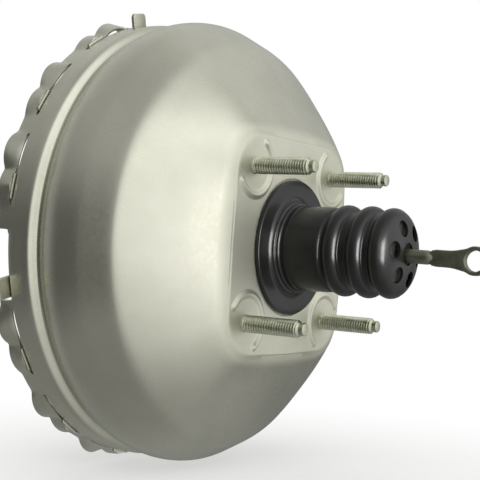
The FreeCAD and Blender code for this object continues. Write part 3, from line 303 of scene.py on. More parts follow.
def moulded_nylon(name, base):
    """Moulded black nylon: smooth and half glossy, with a slight flow pattern."""
    return mottled(
        name, base, toned(base, 1.8, lift=0.004), tone=(7.0, 0.0, 0.6), shine=(1.4, 0.28, 0.44),
        skin=(1.0, 0.00002, 0.5, 2.0), constants={"IOR": 1.53},
    )


def cloth_backed_rubber(name, base):
    """Diaphragm rubber calendered on cloth: its weave prints through as a fine check, painted lighter where
    the weave stands proud, as light on its relief.
    """
    made, tree, place = new_finish(name)
    threads = [
        add(tree, "TexWave", {"Vector": place, "Scale": per_wave(THREAD_GAP), "Distortion": 0.4},
            bands_direction=axis).outputs["Fac"]
        for axis in ("Y", "Z")
    ]
    check = add(tree, "Math", {0: threads[0], 1: threads[1]}, operation="MULTIPLY").outputs[0]
    skin = add(tree, "Bump", {"Height": check, "Distance": 0.00008, "Strength": 0.5}).outputs["Normal"]
    inputs = {"Roughness": wandering(tree, place, 6.0, 0.5, 0.7), "Normal": skin}
    # The check that raises the bump also lightens the colour: painted light on the weave's raised crossings.
    return closed_finish(made, check, base, toned(base, 1.8), inputs)


def drawn_steel(name, base, low, high):
    """Plain or turned metal: fine tool lines round the axis."""
    made, tree, place = new_finish(name)
    lines = add(
        tree, "TexWave",
        {"Vector": place, "Scale": per_wave(TOOL_LINE_GAP), "Distortion": 1.5, "Detail": 2.0},
        bands_direction="X",
    ).outputs["Fac"]
    stain = wandering(tree, place, 8.0, 0.0, 0.7, 4.0)
    skin = add(tree, "Bump", {"Height": lines, "Distance": 0.00001, "Strength": 0.5}).outputs["Normal"]
    rough = add(tree, "MapRange", {"Value": lines, "To Min": low, "To Max": high}).outputs["Result"]
    inputs = {"Roughness": rough, "Normal": skin, "Metallic": 1.0}
    return closed_finish(made, stain, base, toned(base, 0.7), inputs)


def needled_fibre(name, base, size):
    """Felt or open foam: matte, with fibres or cells that stand dark and light side by side, the colour
    following the relief: painted shade in its hollows and painted light on its tops.
    """
    made, tree, place = new_finish(name)
    fibre_relief_and_shade = add(
        tree, "TexNoise",
        {"Vector": place, "Scale": per_mm(size), "Detail": 6.0, "Roughness": 0.75, "Distortion": 1.6},
    ).outputs["Fac"]
    # The relief's own noise sets the colour, so the hollows carry painted shade and the tops painted light.
    share = add(tree, "MapRange", {"Value": fibre_relief_and_shade, "From Min": 0.35, "From Max": 0.65}).outputs["Result"]
    skin = add(tree, "Bump", {"Height": fibre_relief_and_shade, "Distance": 0.0005, "Strength": 0.9}).outputs["Normal"]
    inputs = {"Normal": skin, "Roughness": 0.95, "Sheen Weight": 0.25, "Sheen Roughness": 0.5}
    return closed_finish(made, share, toned(base, 0.3), toned(base, 1.7), inputs)


# Each finish: its maker, its material's name, its colours in the panel, and the maker's other values.
FINISH_TABLE = {
    "shell": (zinc_plated_pressed_steel, "zinc_plated_pressed_steel", ("shell", "shell_film"), (0.26, 0.31)),
    "inner_shell": (
        zinc_plated_pressed_steel, "zinc_plated_front_shell", ("shell_film", "plate"), (0.36, 0.5),
    ),
    "edge": (sheared_steel_edge, "sheared_steel_edge", ("edge",), ()),
    "stud": (zinc_plated_thread, "zinc_plated_rolled_thread", ("stud",), ()),
    "rod": (phosphated_forging, "phosphated_forged_steel", ("rod",), ()),
    "boot": (moulded_rubber, "moulded_boot_rubber", ("boot",), (0.3, 0.4, 0.15, 0.25, 0.3)),
    "seal": (moulded_rubber, "moulded_seal_rubber", ("seal",), (0.35, 0.5)),
    "diaphragm": (cloth_backed_rubber, "cloth_backed_rubber", ("diaphragm",), ()),
    "phenolic": (filled_phenolic, "filled_phenolic", ("phenolic",), ()),
    "plate": (drawn_steel, "cold_drawn_steel", ("plate",), (0.32, 0.48)),
    "spring": (drawn_steel, "oil_tempered_wire", ("spring",), (0.3, 0.42)),
    "valve": (drawn_steel, "turned_aluminium", ("valve",), (0.18, 0.32)),
    "felt": (needled_fibre, "needled_felt", ("felt",), (1.1,)),
    "foam": (needled_fibre, "open_cell_foam", ("foam",), (1.8,)),
    "nylon": (moulded_nylon, "moulded_nylon", ("nylon",), ()),
}
FINISHES = {}


def finish(label):
    """Material of a finish, made once from the colours in the panel."""
    if label not in FINISHES:
        maker, name, shades, values = FINISH_TABLE[label]
        colours = bpy.context.scene.booster_colours
        FINISHES[label] = maker(name, *(list(getattr(colours, shade)) for shade in shades), *values)
    return FINISHES[label]


# Shaping
def arc(start, end, radius, count):
    """Points between two ends of an arc that bulges away from the axis, ends left out."""
    first, last = Vector(start), Vector(end)
    run = last - first
    out = Vector((-run.y, run.x)).normalized()
    if out.y < 0:
        out.negate()
    centre = (first + last) / 2 - out * math.sqrt(radius ** 2 - (run.length / 2) ** 2)
    begin = (first - centre).angle_signed(last - centre)
    points = []
    for step in range(1, count):
        spoke = (first - centre).copy()
        spoke.rotate(Matrix.Rotation(-begin * step / count, 2))
        points.append(tuple(centre + spoke))
    return points


def section(mesh, corners, closed, round_steps, longest):
    """Wire in the X-Z plane from (place, radius) corners; a third number is the cut that rounds a corner."""
    verts = [mesh.verts.new((corner[0] * MM, 0.0, corner[1] * MM)) for corner in corners]
    pairs = list(zip(verts, verts[1:])) + ([(verts[-1], verts[0])] if closed else [])
    for pair in pairs:
        mesh.edges.new(pair)
    for vert, corner in zip(verts, corners):
        if len(corner) == 3:
            bmesh.ops.bevel(
                mesh, geom=[vert], offset=corner[2] * MM, offset_type="OFFSET", affect="VERTICES",
                segments=round_steps, profile=0.5, material=-1,
            )
    for edge in list(mesh.edges):
        cuts = int(edge.calc_length() / (longest * MM))
        if cuts:
            bmesh.ops.subdivide_edges(mesh, edges=[edge], cuts=cuts)


def turned(mesh, steps):
    """Turn a wire section fully about X, and clean what it makes."""
    bmesh.ops.spin(
        mesh, geom=mesh.verts[:] + mesh.edges[:], cent=(0, 0, 0), axis=(1, 0, 0), dvec=(0, 0, 0),
        angle=FULL_TURN, steps=steps, use_merge=True,
    )
    tidy(mesh)
    return mesh


def spun(corners, steps, closed=True, round_steps=4, longest=NO_LIMIT):
    """Shape turned about X from a section whose corners are in millimetres."""
    mesh = bmesh.new()
    section(mesh, corners, closed, round_steps, longest)
    return turned(mesh, steps)


def tidy(mesh):
    """Merge doubles, drop faces without area, and point the rest outwards."""
    bmesh.ops.remove_doubles(mesh, verts=mesh.verts, dist=WELD_DISTANCE)
    bmesh.ops.dissolve_degenerate(mesh, edges=mesh.edges, dist=WELD_DISTANCE)
    bmesh.ops.recalc_face_normals(mesh, faces=mesh.faces)


def polar(point):
    """Radius and angle in degrees of a point about the axis, measured up from -Y."""
    return math.hypot(point.y, point.z), math.degrees(math.atan2(point.z, -point.y))


def on_ray(place, radius, degrees):
    """Point at a place along X, out on the ray at an angle measured up from -Y."""
    angle = math.radians(degrees)
    return Vector((place, -radius * math.cos(angle), radius * math.sin(angle)))


def at(place, across=0.0, up=0.0):
    """Move to a point given in millimetres."""
    return Matrix.Translation(Vector((place, across, up)) * MM)


def applied(thing):
    """Apply an object's modifiers to its mesh."""
    graph = bpy.context.evaluated_depsgraph_get()
    shaped = bpy.data.meshes.new_from_object(thing.evaluated_get(graph), depsgraph=graph)
    thing.modifiers.clear()
    thing.data = shaped
    return thing


def laid(name, mesh, materials=()):
    """Object at the origin that holds a bmesh, with its materials."""
    data = bpy.data.meshes.new(name)
    mesh.to_mesh(data)
    mesh.free()
    for material in materials:
        data.materials.append(material)
    thing = bpy.data.objects.new(name, data)
    bpy.context.scene.collection.objects.link(thing)
    return thing


def piece(name, mesh, finishes, body, nodes, sharp=32.0, shape=None):
    """Finished object from a bmesh: modifiers applied, shaded, on its body and in place of its nodes."""
    thing = laid(name, mesh, [finish(label) for label in finishes])
    if shape:
        shape(thing)
        applied(thing)
    thing.data.shade_smooth()
    thing.data.set_sharp_from_angle(angle=math.radians(sharp))
    if body:
        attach(thing, body)
    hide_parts(*nodes)
    return thing


def break_edges(thing, width, segments, degrees, finish_place=-1):
    """Bevel modifier on the edges that are sharper than an angle."""
    broken = thing.modifiers.new("broken_edge", "BEVEL")
    broken.width = width
    broken.segments = segments
    broken.limit_method = "ANGLE"
    broken.angle_limit = math.radians(degrees)
    broken.material = finish_place


def plate_wall(thickness, cut_edge):
    """Modifiers that give an open skin its wall inwards and break the cut edges."""
    def shape(thing):
        wall = thing.modifiers.new("wall", "SOLIDIFY")
        wall.thickness = thickness
        wall.offset = -1.0
        wall.use_even_offset = True
        wall.use_rim = True
        wall.material_offset_rim = 1
        break_edges(thing, cut_edge, 3, 62.0, 1)
    return shape


def coil(wire, radius, start, length, turns, around=12, along=40):
    """Round-wire spring about X with closed ends, sizes in metres."""
    mesh = bmesh.new()
    upright = Matrix.Translation((start, 0, radius)) @ Matrix.Rotation(math.pi / 2, 4, "X")
    bmesh.ops.create_circle(mesh, cap_ends=False, segments=around, radius=wire, matrix=upright)
    steps = int(turns * along)
    bmesh.ops.spin(
        mesh, geom=mesh.verts[:] + mesh.edges[:], cent=(0, 0, 0), axis=(1, 0, 0),
        dvec=(length / steps, 0, 0), angle=FULL_TURN * turns, steps=steps,
    )
    bmesh.ops.holes_fill(mesh, edges=[edge for edge in mesh.edges if edge.is_boundary], sides=around)
    tidy(mesh)
    return mesh


# Rear shell
FACE_RING = 87.0
FACE_HALF = 61.5
FACE_CORNER = 22.0
ROUND_FACE = 42.0
BOOT_SEAT = (-0.5, 39.0)
SHOULDER_PLACE = -33.0
SHOULDER_RADIUS = 118.0
CUP_CROWN = 1.1
DRUM_REAR = (-51.5, 128.3)
DRUM_FRONT = (-79.2, 123.9)
DRUM_ROUND = 31.0
BAND_RADIUS = 129.3
BAND_END = -104.0
REFINE_PLACE = -92.5
SLIT_REAR = -94.8
SLIT_FRONT = -96.6
SHELL_STEPS = 240
LANCES = (14.3, 37.3, 62.0)
LANCE_HALF = 20.25
HUMP_TURN = 4.4
HIGH_HUMP = (119.7, 14.6)
LOW_HUMP = (114.3, 18.0)
HUMP_BLEND = 0.45
LOW_LOOP_RISE = 0.85
TOP_LOOP = (56.0, 76.0)
TOP_LOOP_RISE = 0.5
NOTCH_ANGLE = -8.7
NOTCH_HALF = 19.2
NOTCH_ROUND = 3.0
NOTCH_DEPTH = 15.0
SNAP = 1.25
STUD_HALF = 42.8625
RIB_SPAN = 200.0
RIB_REACH = 4.4
RIB_CUTS = 3
BAND_CUTS = 2
FACE_DEPTH = -1.5
SHELL_ROW = 3.0
SLOPE_STEP = 0.02
LEAST_SLOPE = 0.5
CROWN_PUSH = 0.6
SHELL_SHARP = 34.0


def square_ring(degrees):
    """Point of the rounded square face edge that the shell's circle meets at this angle, in millimetres."""
    quarter, within = divmod(degrees + 45.0, 90.0)
    turn = within - 45.0
    flat = FACE_HALF - FACE_CORNER
    if abs(turn) <= 30.0:
        across, up = FACE_HALF, flat * turn / 30.0
    else:
        sweep = math.radians(3.0 * (abs(turn) - 30.0))
        across = flat + FACE_CORNER * math.cos(sweep)
        up = math.copysign(flat + FACE_CORNER * math.sin(sweep), turn)
    angle = math.radians(90.0 * quarter)
    return across * math.cos(angle) - up * math.sin(angle), across * math.sin(angle) + up * math.cos(angle)


def hump(turn, centre, radius):
    """Distance from the axis to a hump's cylinder, at an angle from its crown."""
    reach = radius ** 2 - (centre * math.sin(math.radians(turn))) ** 2
    return centre * math.cos(math.radians(turn)) + math.sqrt(reach) if reach > 0 else 0.0


def nearest_turn(degrees, angle):
    """Signed angle from the nearest of four rays a quarter turn apart."""
    return (degrees - angle + 45.0) % 90.0 - 45.0


def strip_radius(place, degrees):
    """Outer radius of the strip in front of the slits: its humps open from the slit to the free edge."""
    opening = min(max((SLIT_FRONT - place) / (SLIT_FRONT - BAND_END), 0.0), 1.0)
    start = TOP_LOOP_RISE if TOP_LOOP[0] < degrees < TOP_LOOP[1] else 0.0
    total = 1.0
    for angle in LANCES:
        turn = nearest_turn(degrees, angle)
        # The low hump stands open at the slit already, over the lock tab.
        start = max(start, LOW_LOOP_RISE * (1.0 - abs(turn + HUMP_TURN) / HUMP_TURN))
        for (centre, radius), side in ((HIGH_HUMP, HUMP_TURN), (LOW_HUMP, -HUMP_TURN)):
            rise = hump(turn - side, centre, radius) - BAND_RADIUS
            total += math.exp(max(rise, -20.0) / HUMP_BLEND)
    share = start + (1.0 - start) * opening
    return BAND_RADIUS + share * HUMP_BLEND * math.log(total)


def box_distance(across, up, half_across, half_up, corner):
    """Distance from a rounded rectangle, negative inside."""
    reach_across = abs(across) - half_across + corner
    reach_up = abs(up) - half_up + corner
    outside = math.hypot(max(reach_across, 0.0), max(reach_up, 0.0))
    return outside + min(max(reach_across, reach_up), 0.0) - corner


def opening_distance(place, degrees):
    """Distance in millimetres from the nearest slit or notch of the band, negative inside it."""
    along = math.radians(1.0) * BAND_RADIUS
    nearest = 1000.0
    for angle in LANCES:
        nearest = min(nearest, box_distance(
            place - (SLIT_REAR + SLIT_FRONT) / 2, nearest_turn(degrees, angle) * along,
            (SLIT_REAR - SLIT_FRONT) / 2, LANCE_HALF, 0.4,
        ))
    return min(nearest, box_distance(
        place - SLIT_REAR + NOTCH_DEPTH, nearest_turn(degrees, NOTCH_ANGLE) * along,
        NOTCH_DEPTH, NOTCH_HALF, NOTCH_ROUND,
    ))


def rib_distance(across, up):
    """Distance in millimetres from the centre line of the nearest C-shaped rib."""
    ring = bpy.context.scene.booster_sizes.rib_ring / MM
    nearest = 1000.0
    for centre_across in (STUD_HALF, -STUD_HALF):
        for centre_up in (STUD_HALF, -STUD_HALF):
            away = Vector((across - centre_across, up - centre_up))
            towards_axis = Vector((-centre_across, -centre_up))
            turn = towards_axis.angle_signed(away, 0.0) if away.length > 0 else 0.0
            limit = math.radians(RIB_SPAN / 2)
            if abs(turn) <= limit:
                nearest = min(nearest, abs(away.length - ring))
                continue
            for side in (limit, -limit):
                end = towards_axis.normalized() * ring
                end.rotate(Matrix.Rotation(-side, 2))
                nearest = min(nearest, (away - end).length)
    return nearest


def shape_cup(place, radius, degrees):
    """Point of the cup or face, from its place and radius before the circle turns to a rounded square."""
    angle = math.radians(degrees)
    round_point = Vector((math.cos(angle), math.sin(angle)))
    square_point = Vector(square_ring(degrees))
    if radius >= FACE_RING:
        share = (SHOULDER_RADIUS - radius) / (SHOULDER_RADIUS - FACE_RING)
        crown = CUP_CROWN * math.sin(math.pi * share)
        flat = round_point * (SHOULDER_RADIUS * (1 - share) + crown) + square_point * share
        return place + crown * CROWN_PUSH, flat
    share = max(radius - ROUND_FACE, 0.0) / (FACE_RING - ROUND_FACE)
    return place, round_point * radius * (1 - share) + square_point * (share * radius / FACE_RING)


class BOOSTER_OT_rear_shell(bpy.types.Operator):
    """Press the rear shell: square face with stud ribs, cup, drum, step and lanced band"""

    bl_idname = "booster.rear_shell"
    bl_label = "Rear Shell"

    def execute(self, context):
        sizes = context.scene.booster_sizes
        corners = [(BOOT_SEAT[0], 25.5), (*BOOT_SEAT, 0.15), (0.0, BOOT_SEAT[1] + 0.4, 0.15)]
        corners += [(0.0, ROUND_FACE), (0.0, FACE_RING, 4.2)]
        corners += [(SHOULDER_PLACE, SHOULDER_RADIUS, 4.5), (*DRUM_REAR, 2.2)]
        corners += arc(DRUM_REAR, DRUM_FRONT, DRUM_ROUND, 10)
        corners += [(*DRUM_FRONT, 1.3), (-82.5, BAND_RADIUS, 1.9), (REFINE_PLACE, BAND_RADIUS)]
        corners += [(SLIT_REAR, BAND_RADIUS), (SLIT_FRONT, BAND_RADIUS), (BAND_END, BAND_RADIUS)]
        mesh = spun(corners, SHELL_STEPS, closed=False, longest=SHELL_ROW)
        self.refine(mesh)
        self.open_band(mesh)
        for vert in mesh.verts:
            self.place_vertex(vert, sizes)
        bmesh.ops.remove_doubles(mesh, verts=mesh.verts, dist=WELD_DISTANCE)
        bmesh.ops.recalc_face_normals(mesh, faces=mesh.faces)
        mesh.faces.ensure_lookup_table()
        outward = max(mesh.faces, key=lambda face: face.calc_center_median().x)
        if outward.normal.x < 0:
            bmesh.ops.reverse_faces(mesh, faces=mesh.faces)
        piece(
            "rear_shell", mesh, ["shell", "edge"], "housing", ["rear_housing"], SHELL_SHARP,
            plate_wall(sizes.shell_wall, sizes.cut_edge),
        )
        return {"FINISHED"}

    def refine(self, mesh):
        """Cut the band finely round its lances, and the face finely round its ribs."""
        band = [
            edge for edge in mesh.edges
            if max(vert.co.x for vert in edge.verts) < REFINE_PLACE * MM + WELD_DISTANCE
            and abs(edge.verts[0].co.x - edge.verts[1].co.x) < WELD_DISTANCE
        ]
        bmesh.ops.subdivide_edges(mesh, edges=band, cuts=BAND_CUTS, use_grid_fill=True)
        near = set()
        for face in mesh.faces:
            centre = face.calc_center_median() / MM
            if centre.x < FACE_DEPTH:
                continue
            radius, degrees = polar(centre)
            flat = shape_cup(centre.x, radius, degrees)[1]
            if rib_distance(flat.x, flat.y) < RIB_REACH:
                near.update(face.edges)
        bmesh.ops.subdivide_edges(mesh, edges=list(near), cuts=RIB_CUTS, use_grid_fill=True)

    def open_band(self, mesh):
        """Delete the slits and notches, and draw their edges onto the true outlines."""
        cut = []
        for face in mesh.faces:
            centre = face.calc_center_median() / MM
            if centre.x < REFINE_PLACE and opening_distance(centre.x, polar(centre)[1]) < 0:
                cut.append(face)
        bmesh.ops.delete(mesh, geom=cut, context="FACES")
        along = math.degrees(SLOPE_STEP / BAND_RADIUS)
        for vert in mesh.verts:
            place = vert.co.x / MM
            if place > REFINE_PLACE or not vert.is_boundary:
                continue
            radius, degrees = polar(vert.co)
            distance = opening_distance(place, degrees)
            if abs(distance) > SNAP:
                continue
            slope_place = (opening_distance(place + SLOPE_STEP, degrees) - distance) / SLOPE_STEP
            slope_turn = (opening_distance(place, degrees + along) - distance) / SLOPE_STEP
            if place < BAND_END + SNAP:
                slope_place = 0.0
            size = math.hypot(slope_place, slope_turn)
            if size < LEAST_SLOPE:
                continue
            place -= distance * slope_place / size
            degrees -= math.degrees(distance * slope_turn / size / BAND_RADIUS)
            vert.co = on_ray(place * MM, radius, degrees)

    def place_vertex(self, vert, sizes):
        """Move a vertex of the turned skin onto the pressed shape."""
        place = vert.co.x / MM
        radius, degrees = polar(vert.co / MM)
        if place > SHOULDER_PLACE and radius < SHOULDER_RADIUS:
            place, flat = shape_cup(place, radius, degrees)
            if place > FACE_DEPTH:
                share = rib_distance(flat.x, flat.y) * MM / sizes.rib_width
                if share < 1:
                    place += sizes.rib_height / MM * (0.5 + 0.5 * math.cos(math.pi * share))
            vert.co = Vector((place, -flat.x, flat.y)) * MM
        elif place < REFINE_PLACE:
            radius = strip_radius(place, degrees) if place < (SLIT_REAR + SLIT_FRONT) / 2 else BAND_RADIUS
            vert.co = on_ray(place, radius, degrees) * MM


# Front shell
LUG_ANGLE = -13.7
LUG_SIZES = (2.0, 137.2, 11.5, 2.5)
TAB_SIZES = (1.9, 130.6, 14.0, 1.2)
TAB_ROOT = 122.5
FLANGE_MIDDLE = -96.5
FRONT_FLAT_RADIUS = 70.0


def add_tab(mesh, degrees, sizes):
    """Flat tab that stands out from the flange on a ray, with rounded outer corners."""
    thickness, reach, width, corner = [size * MM for size in sizes]
    root = TAB_ROOT * MM
    box = bmesh.ops.create_cube(mesh, size=1.0)["verts"]
    bmesh.ops.scale(mesh, vec=(thickness, width, reach - root), verts=box)
    bmesh.ops.translate(mesh, vec=(FLANGE_MIDDLE * MM, 0, (reach + root) / 2), verts=box)
    outer = [
        edge for edge in {edge for vert in box for edge in vert.link_edges}
        if all(vert.co.z > (reach + root) / 2 for vert in edge.verts)
        and abs(edge.verts[0].co.y - edge.verts[1].co.y) < WELD_DISTANCE
    ]
    made = bmesh.ops.bevel(
        mesh, geom=outer, offset=corner, offset_type="OFFSET", affect="EDGES", segments=5, profile=0.5,
        material=-1,
    )
    verts = {vert for vert in box if vert.is_valid} | {vert for face in made["faces"] for vert in face.verts}
    verts |= {other.other_vert(vert) for vert in list(verts) for other in vert.link_edges}
    turn = Matrix.Rotation(math.radians(90.0 - degrees), 3, "X")
    bmesh.ops.rotate(mesh, cent=(0, 0, 0), matrix=turn, verts=list(verts))


class BOOSTER_OT_front_shell(bpy.types.Operator):
    """Press the front shell: flange with lugs and lock tabs, wall, face and raised pad"""

    bl_idname = "booster.front_shell"
    bl_label = "Front Shell"

    def execute(self, context):
        sizes = context.scene.booster_sizes
        corners = [
            (-97.5, 127.25), (-97.5, 121.4, 1.4), (-103.0, 119.6, 2.4), (-136.0, 86.5, 4.0),
            (-140.0, 80.5, 2.4), (-140.0, 57.4, 1.6), (-156.0, 54.0, 1.8), (-156.0, 21.5, 1.0),
            (-142.0, 21.5, 0.8), (-142.0, 12.0),
        ]
        mesh = spun(corners, SHELL_STEPS, closed=False, longest=6.0)
        flat_place = FRONT_FLAT_RADIUS * MM
        flat = min(mesh.faces, key=lambda face: abs(face.calc_center_median().yz.length - flat_place))
        if flat.normal.x > 0:
            bmesh.ops.reverse_faces(mesh, faces=mesh.faces)
        self.press("front_shell", mesh, plate_wall(sizes.shell_wall, sizes.cut_edge))
        tabs = bmesh.new()
        for quarter in QUARTERS:
            add_tab(tabs, LUG_ANGLE + quarter, LUG_SIZES)
            for angle in LANCES:
                add_tab(tabs, angle - HUMP_TURN + quarter, TAB_SIZES)
        bmesh.ops.recalc_face_normals(tabs, faces=tabs.faces)
        self.press("lock_tabs", tabs, lambda thing: break_edges(thing, sizes.cut_edge, 2, 60.0, 1))
        return {"FINISHED"}

    def press(self, name, mesh, shape):
        """Pressing of the front shell's steel."""
        finishes = ["inner_shell", "edge"]
        piece(name, mesh, finishes, "housing", ["front_housing"], SHELL_SHARP, shape)


# Studs
THREAD_AROUND = 40
ROWS_PER_PITCH = 6
THREAD_DEPTH_SHARE = 0.72
FLANK_STEEPNESS = 1.3
CREST_FLAT = 0.1
RUN_IN = 1.2
RUN_OUT = 0.8
LAST_TURN = 0.35
LEAST = 0.01
REAR_STUD = {
    "radius": 4.7625, "head_radius": 8.8, "head_thickness": 3.0, "thread_start": 2.25, "thread_end": 35.2,
    "tip_radius": 3.4, "length": 39.07, "neck": 3.05,
}
FRONT_STUD = {
    "radius": 5.0, "head_radius": 8.0, "head_thickness": 3.0, "thread_start": 2.3, "thread_end": 21.4,
    "tip_radius": 3.7, "length": 24.0, "neck": 3.5,
}
REAR_STUD_PLACE = -2.0
REAR_STUD_TURN = 57.0
FRONT_STUD_PLACE = -154.0
FRONT_STUD_HALF = 42.0


def threaded_stud(
    pitch, radius, head_radius, head_thickness, thread_start, thread_end, tip_radius, length, neck
):
    """Headed stud along +X from the shell's inner wall, with a rolled thread and a plain point."""
    mesh = bmesh.new()
    corners = [
        (-head_thickness, 0.0), (-head_thickness, head_radius, 0.5), (0.0, head_radius), (0.0, radius),
        (thread_start, radius),
    ]
    tip = [
        (thread_end, radius), (thread_end + 0.9, neck, 0.25), (thread_end + 1.7, neck, 0.2),
        (thread_end + 2.1, tip_radius, 0.3), (length, tip_radius, 0.6), (length, 0.0),
    ]
    section(mesh, corners + tip, False, 3, NO_LIMIT)
    row = pitch / MM / ROWS_PER_PITCH
    for edge in list(mesh.edges):
        middle = (edge.verts[0].co + edge.verts[1].co) / 2 / MM
        if thread_start < middle.x < thread_end and abs(middle.z - radius) < 0.1:
            cuts = int(edge.calc_length() / MM / row)
            bmesh.ops.subdivide_edges(mesh, edges=[edge], cuts=cuts)
    turned(mesh, THREAD_AROUND)
    depth = pitch / MM * THREAD_DEPTH_SHARE
    for vert in mesh.verts:
        place = vert.co.x / MM
        reach, degrees = polar(vert.co / MM)
        if reach < radius - LEAST or not thread_start - LEAST < place < thread_end + LEAST:
            continue
        phase = (place * MM / pitch - degrees / 360.0) % 1.0
        tooth = min(max(abs(2.0 * phase - 1.0) * FLANK_STEEPNESS - CREST_FLAT, 0.0), 1.0)
        left = (thread_end - place) / RUN_OUT
        fade = min((place - thread_start) / RUN_IN, left + LAST_TURN, 1.0)
        reach -= depth * (1.0 - tooth) * max(fade, 0.0) + LAST_TURN * max(1.0 - left, 0.0)
        vert.co = on_ray(place, reach, degrees) * MM
    return mesh


def repeated(mesh, moves):
    """Copies of a shape, one for each transform."""
    data = bpy.data.meshes.new("pattern")
    mesh.to_mesh(data)
    mesh.free()
    many = bmesh.new()
    for move in moves:
        before = len(many.verts)
        many.from_mesh(data)
        many.verts.ensure_lookup_table()
        bmesh.ops.transform(many, matrix=move, verts=many.verts[before:])
    bpy.data.meshes.remove(data)
    return many


class BOOSTER_OT_studs(bpy.types.Operator):
    """Roll the four mounting studs and the two master cylinder studs"""

    bl_idname = "booster.studs"
    bl_label = "Studs"

    def execute(self, context):
        sizes = context.scene.booster_sizes
        rear = [
            at(REAR_STUD_PLACE, across * STUD_HALF, up * STUD_HALF)
            @ Matrix.Rotation(math.radians(REAR_STUD_TURN * number), 4, "X")
            for number, (across, up) in enumerate(((1, 1), (1, -1), (-1, 1), (-1, -1)))
        ]
        about = Matrix.Rotation(math.pi, 4, "Z")
        front = [at(FRONT_STUD_PLACE, side * FRONT_STUD_HALF) @ about for side in (1, -1)]
        for name, stud, pitch, moves, node in (
            ("rear_studs", REAR_STUD, sizes.stud_pitch, rear, "mounting_studs"),
            ("front_studs", FRONT_STUD, sizes.master_pitch, front, "master_cylinder_studs"),
        ):
            mesh = repeated(threaded_stud(pitch, **stud), moves)
            piece(name, mesh, ["stud"], "housing", [node], 28.0)
        return {"FINISHED"}


# Boot
VENT_CIRCLE = 14.6
VENT_ANGLE = 8.0
VENTS = 6
VENT_PLACE = 72.6
VENT_CUT = 12.0
VENT_RIM = 0.3


class BOOSTER_OT_boot(bpy.types.Operator):
    """Mould the boot: flange, lips, two folds and a domed end with its vents"""

    bl_idname = "booster.boot"
    bl_label = "Boot"

    def execute(self, context):
        sizes = context.scene.booster_sizes
        outer = [
            (-0.48, 22.6), (-0.48, 38.45, 0.3), (2.3, 38.45, 0.7), (2.0, 28.4, 0.8), (3.6, 26.8, 0.5),
            (4.7, 26.4, 0.5), (5.0, 25.2, 0.3), (6.1, 25.3, 0.4), (7.0, 24.3, 0.5), (8.2, 24.3, 0.4),
            (9.0, 24.5, 0.4), (10.2, 24.1, 0.5), (27.6, 23.7, 1.2), (29.4, 23.4, 0.9), (30.6, 22.2, 0.7),
        ]
        outer += arc((31.4, 21.7), (41.3, 21.6), 5.15, 12) + [(41.3, 21.6, 0.7), (46.0, 21.5, 0.7)]
        outer += arc((46.0, 21.5), (55.8, 21.7), 5.1, 12) + [(55.8, 21.7, 0.7), (59.6, 21.9, 0.8)]
        outer += [
            (60.8, 23.8, 0.7), (62.9, 24.7, 0.8), (65.6, 24.6, 1.2), (68.8, 22.4, 1.4), (71.0, 18.9, 1.5),
            (72.4, 14.2, 1.5), (73.2, 9.6, 1.5), (73.2, 6.0, 0.45),
        ]
        inner = [
            (71.6, 6.0, 0.3), (71.5, 9.8, 1.0), (70.8, 13.8, 1.2), (69.6, 18.0, 1.2), (67.6, 21.3, 1.2),
            (65.0, 23.1, 1.0), (62.1, 23.1, 1.0), (60.6, 20.4, 0.8), (54.8, 20.0, 0.8),
        ]
        inner += arc((47.1, 20.0), (54.8, 20.0), 3.9, 10)[::-1] + [(47.1, 20.0, 0.6), (40.4, 20.0, 0.6)]
        inner += arc((32.7, 20.0), (40.4, 20.0), 3.9, 10)[::-1] + [(32.7, 20.0, 0.6), (29.4, 21.9, 0.8)]
        mesh = spun(outer + inner, 128, longest=3.2)
        piece(
            "boot_moulding", mesh, ["boot"], "housing", ["boot"], 48.0, self.vents(sizes)
        )
        moulding = bpy.data.objects["boot_moulding"]
        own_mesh(moulding)
        return {"FINISHED"}

    def vents(self, sizes):
        """Modifiers that punch the vents through the domed end and soften their rims."""
        def shape(thing):
            cutter = bmesh.new()
            for number in range(VENTS):
                centre = on_ray(VENT_PLACE, VENT_CIRCLE, VENT_ANGLE + 360.0 / VENTS * number) * MM
                upright = Matrix.Translation(centre) @ Matrix.Rotation(math.pi / 2, 4, "Y")
                bmesh.ops.create_cone(
                    cutter, cap_ends=True, segments=28, radius1=sizes.vent_radius, radius2=sizes.vent_radius,
                    depth=VENT_CUT * MM, matrix=upright,
                )
            tool = laid("vent_cutter", cutter)
            data = tool.data
            punch = thing.modifiers.new("vents", "BOOLEAN")
            punch.operation = "DIFFERENCE"
            punch.solver = "EXACT"
            punch.object = tool
            applied(thing)
            bpy.data.objects.remove(tool)
            bpy.data.meshes.remove(data)
            break_edges(thing, VENT_RIM * MM, 2, 58.0)
        return shape


class BOOSTER_OT_silencer(bpy.types.Operator):
    """Cut the felt silencer that shows behind the boot's vents"""

    bl_idname = "booster.silencer"
    bl_label = "Felt Silencer"

    def execute(self, context):
        fuzz = context.scene.booster_sizes.felt_fuzz
        corners = [
            (49.3, 7.2, 0.5), (49.3, 14.7, 0.6), (64.5, 14.7, 0.6), (64.7, 18.5, 0.9), (68.5, 18.5, 1.4),
            (68.5, 7.2, 0.8),
        ]
        mesh = spun(corners, 96, longest=1.0)
        for vert in mesh.verts:
            vert.co += noise.noise_vector(vert.co * per_mm(1.3)) * fuzz
        piece("felt_silencer", mesh, ["felt"], "piston", ["filter_silencer"], 60.0)
        return {"FINISHED"}


# Push rod
ROD_DROOP = 0.84
BALL_PLACE = 16.0
BALL_RADIUS = 5.15
BALL_FRONT = (10.85, 0.0)
BALL_REAR = (20.12, 3.09)
COLLAR = (35.0, 37.0)
COLLAR_RADIUS = 5.2
ROD_RADIUS = 3.83
ROD_FLAT_START = 85.2
EYE_PLACE = 111.41
EYE_RADIUS = 7.7
EYE_HOLE = 5.55
FLAT_HALF = 2.35
NECK_HALF = 4.55
EYE_STEPS = 64
BLADE_EDGE = 0.55
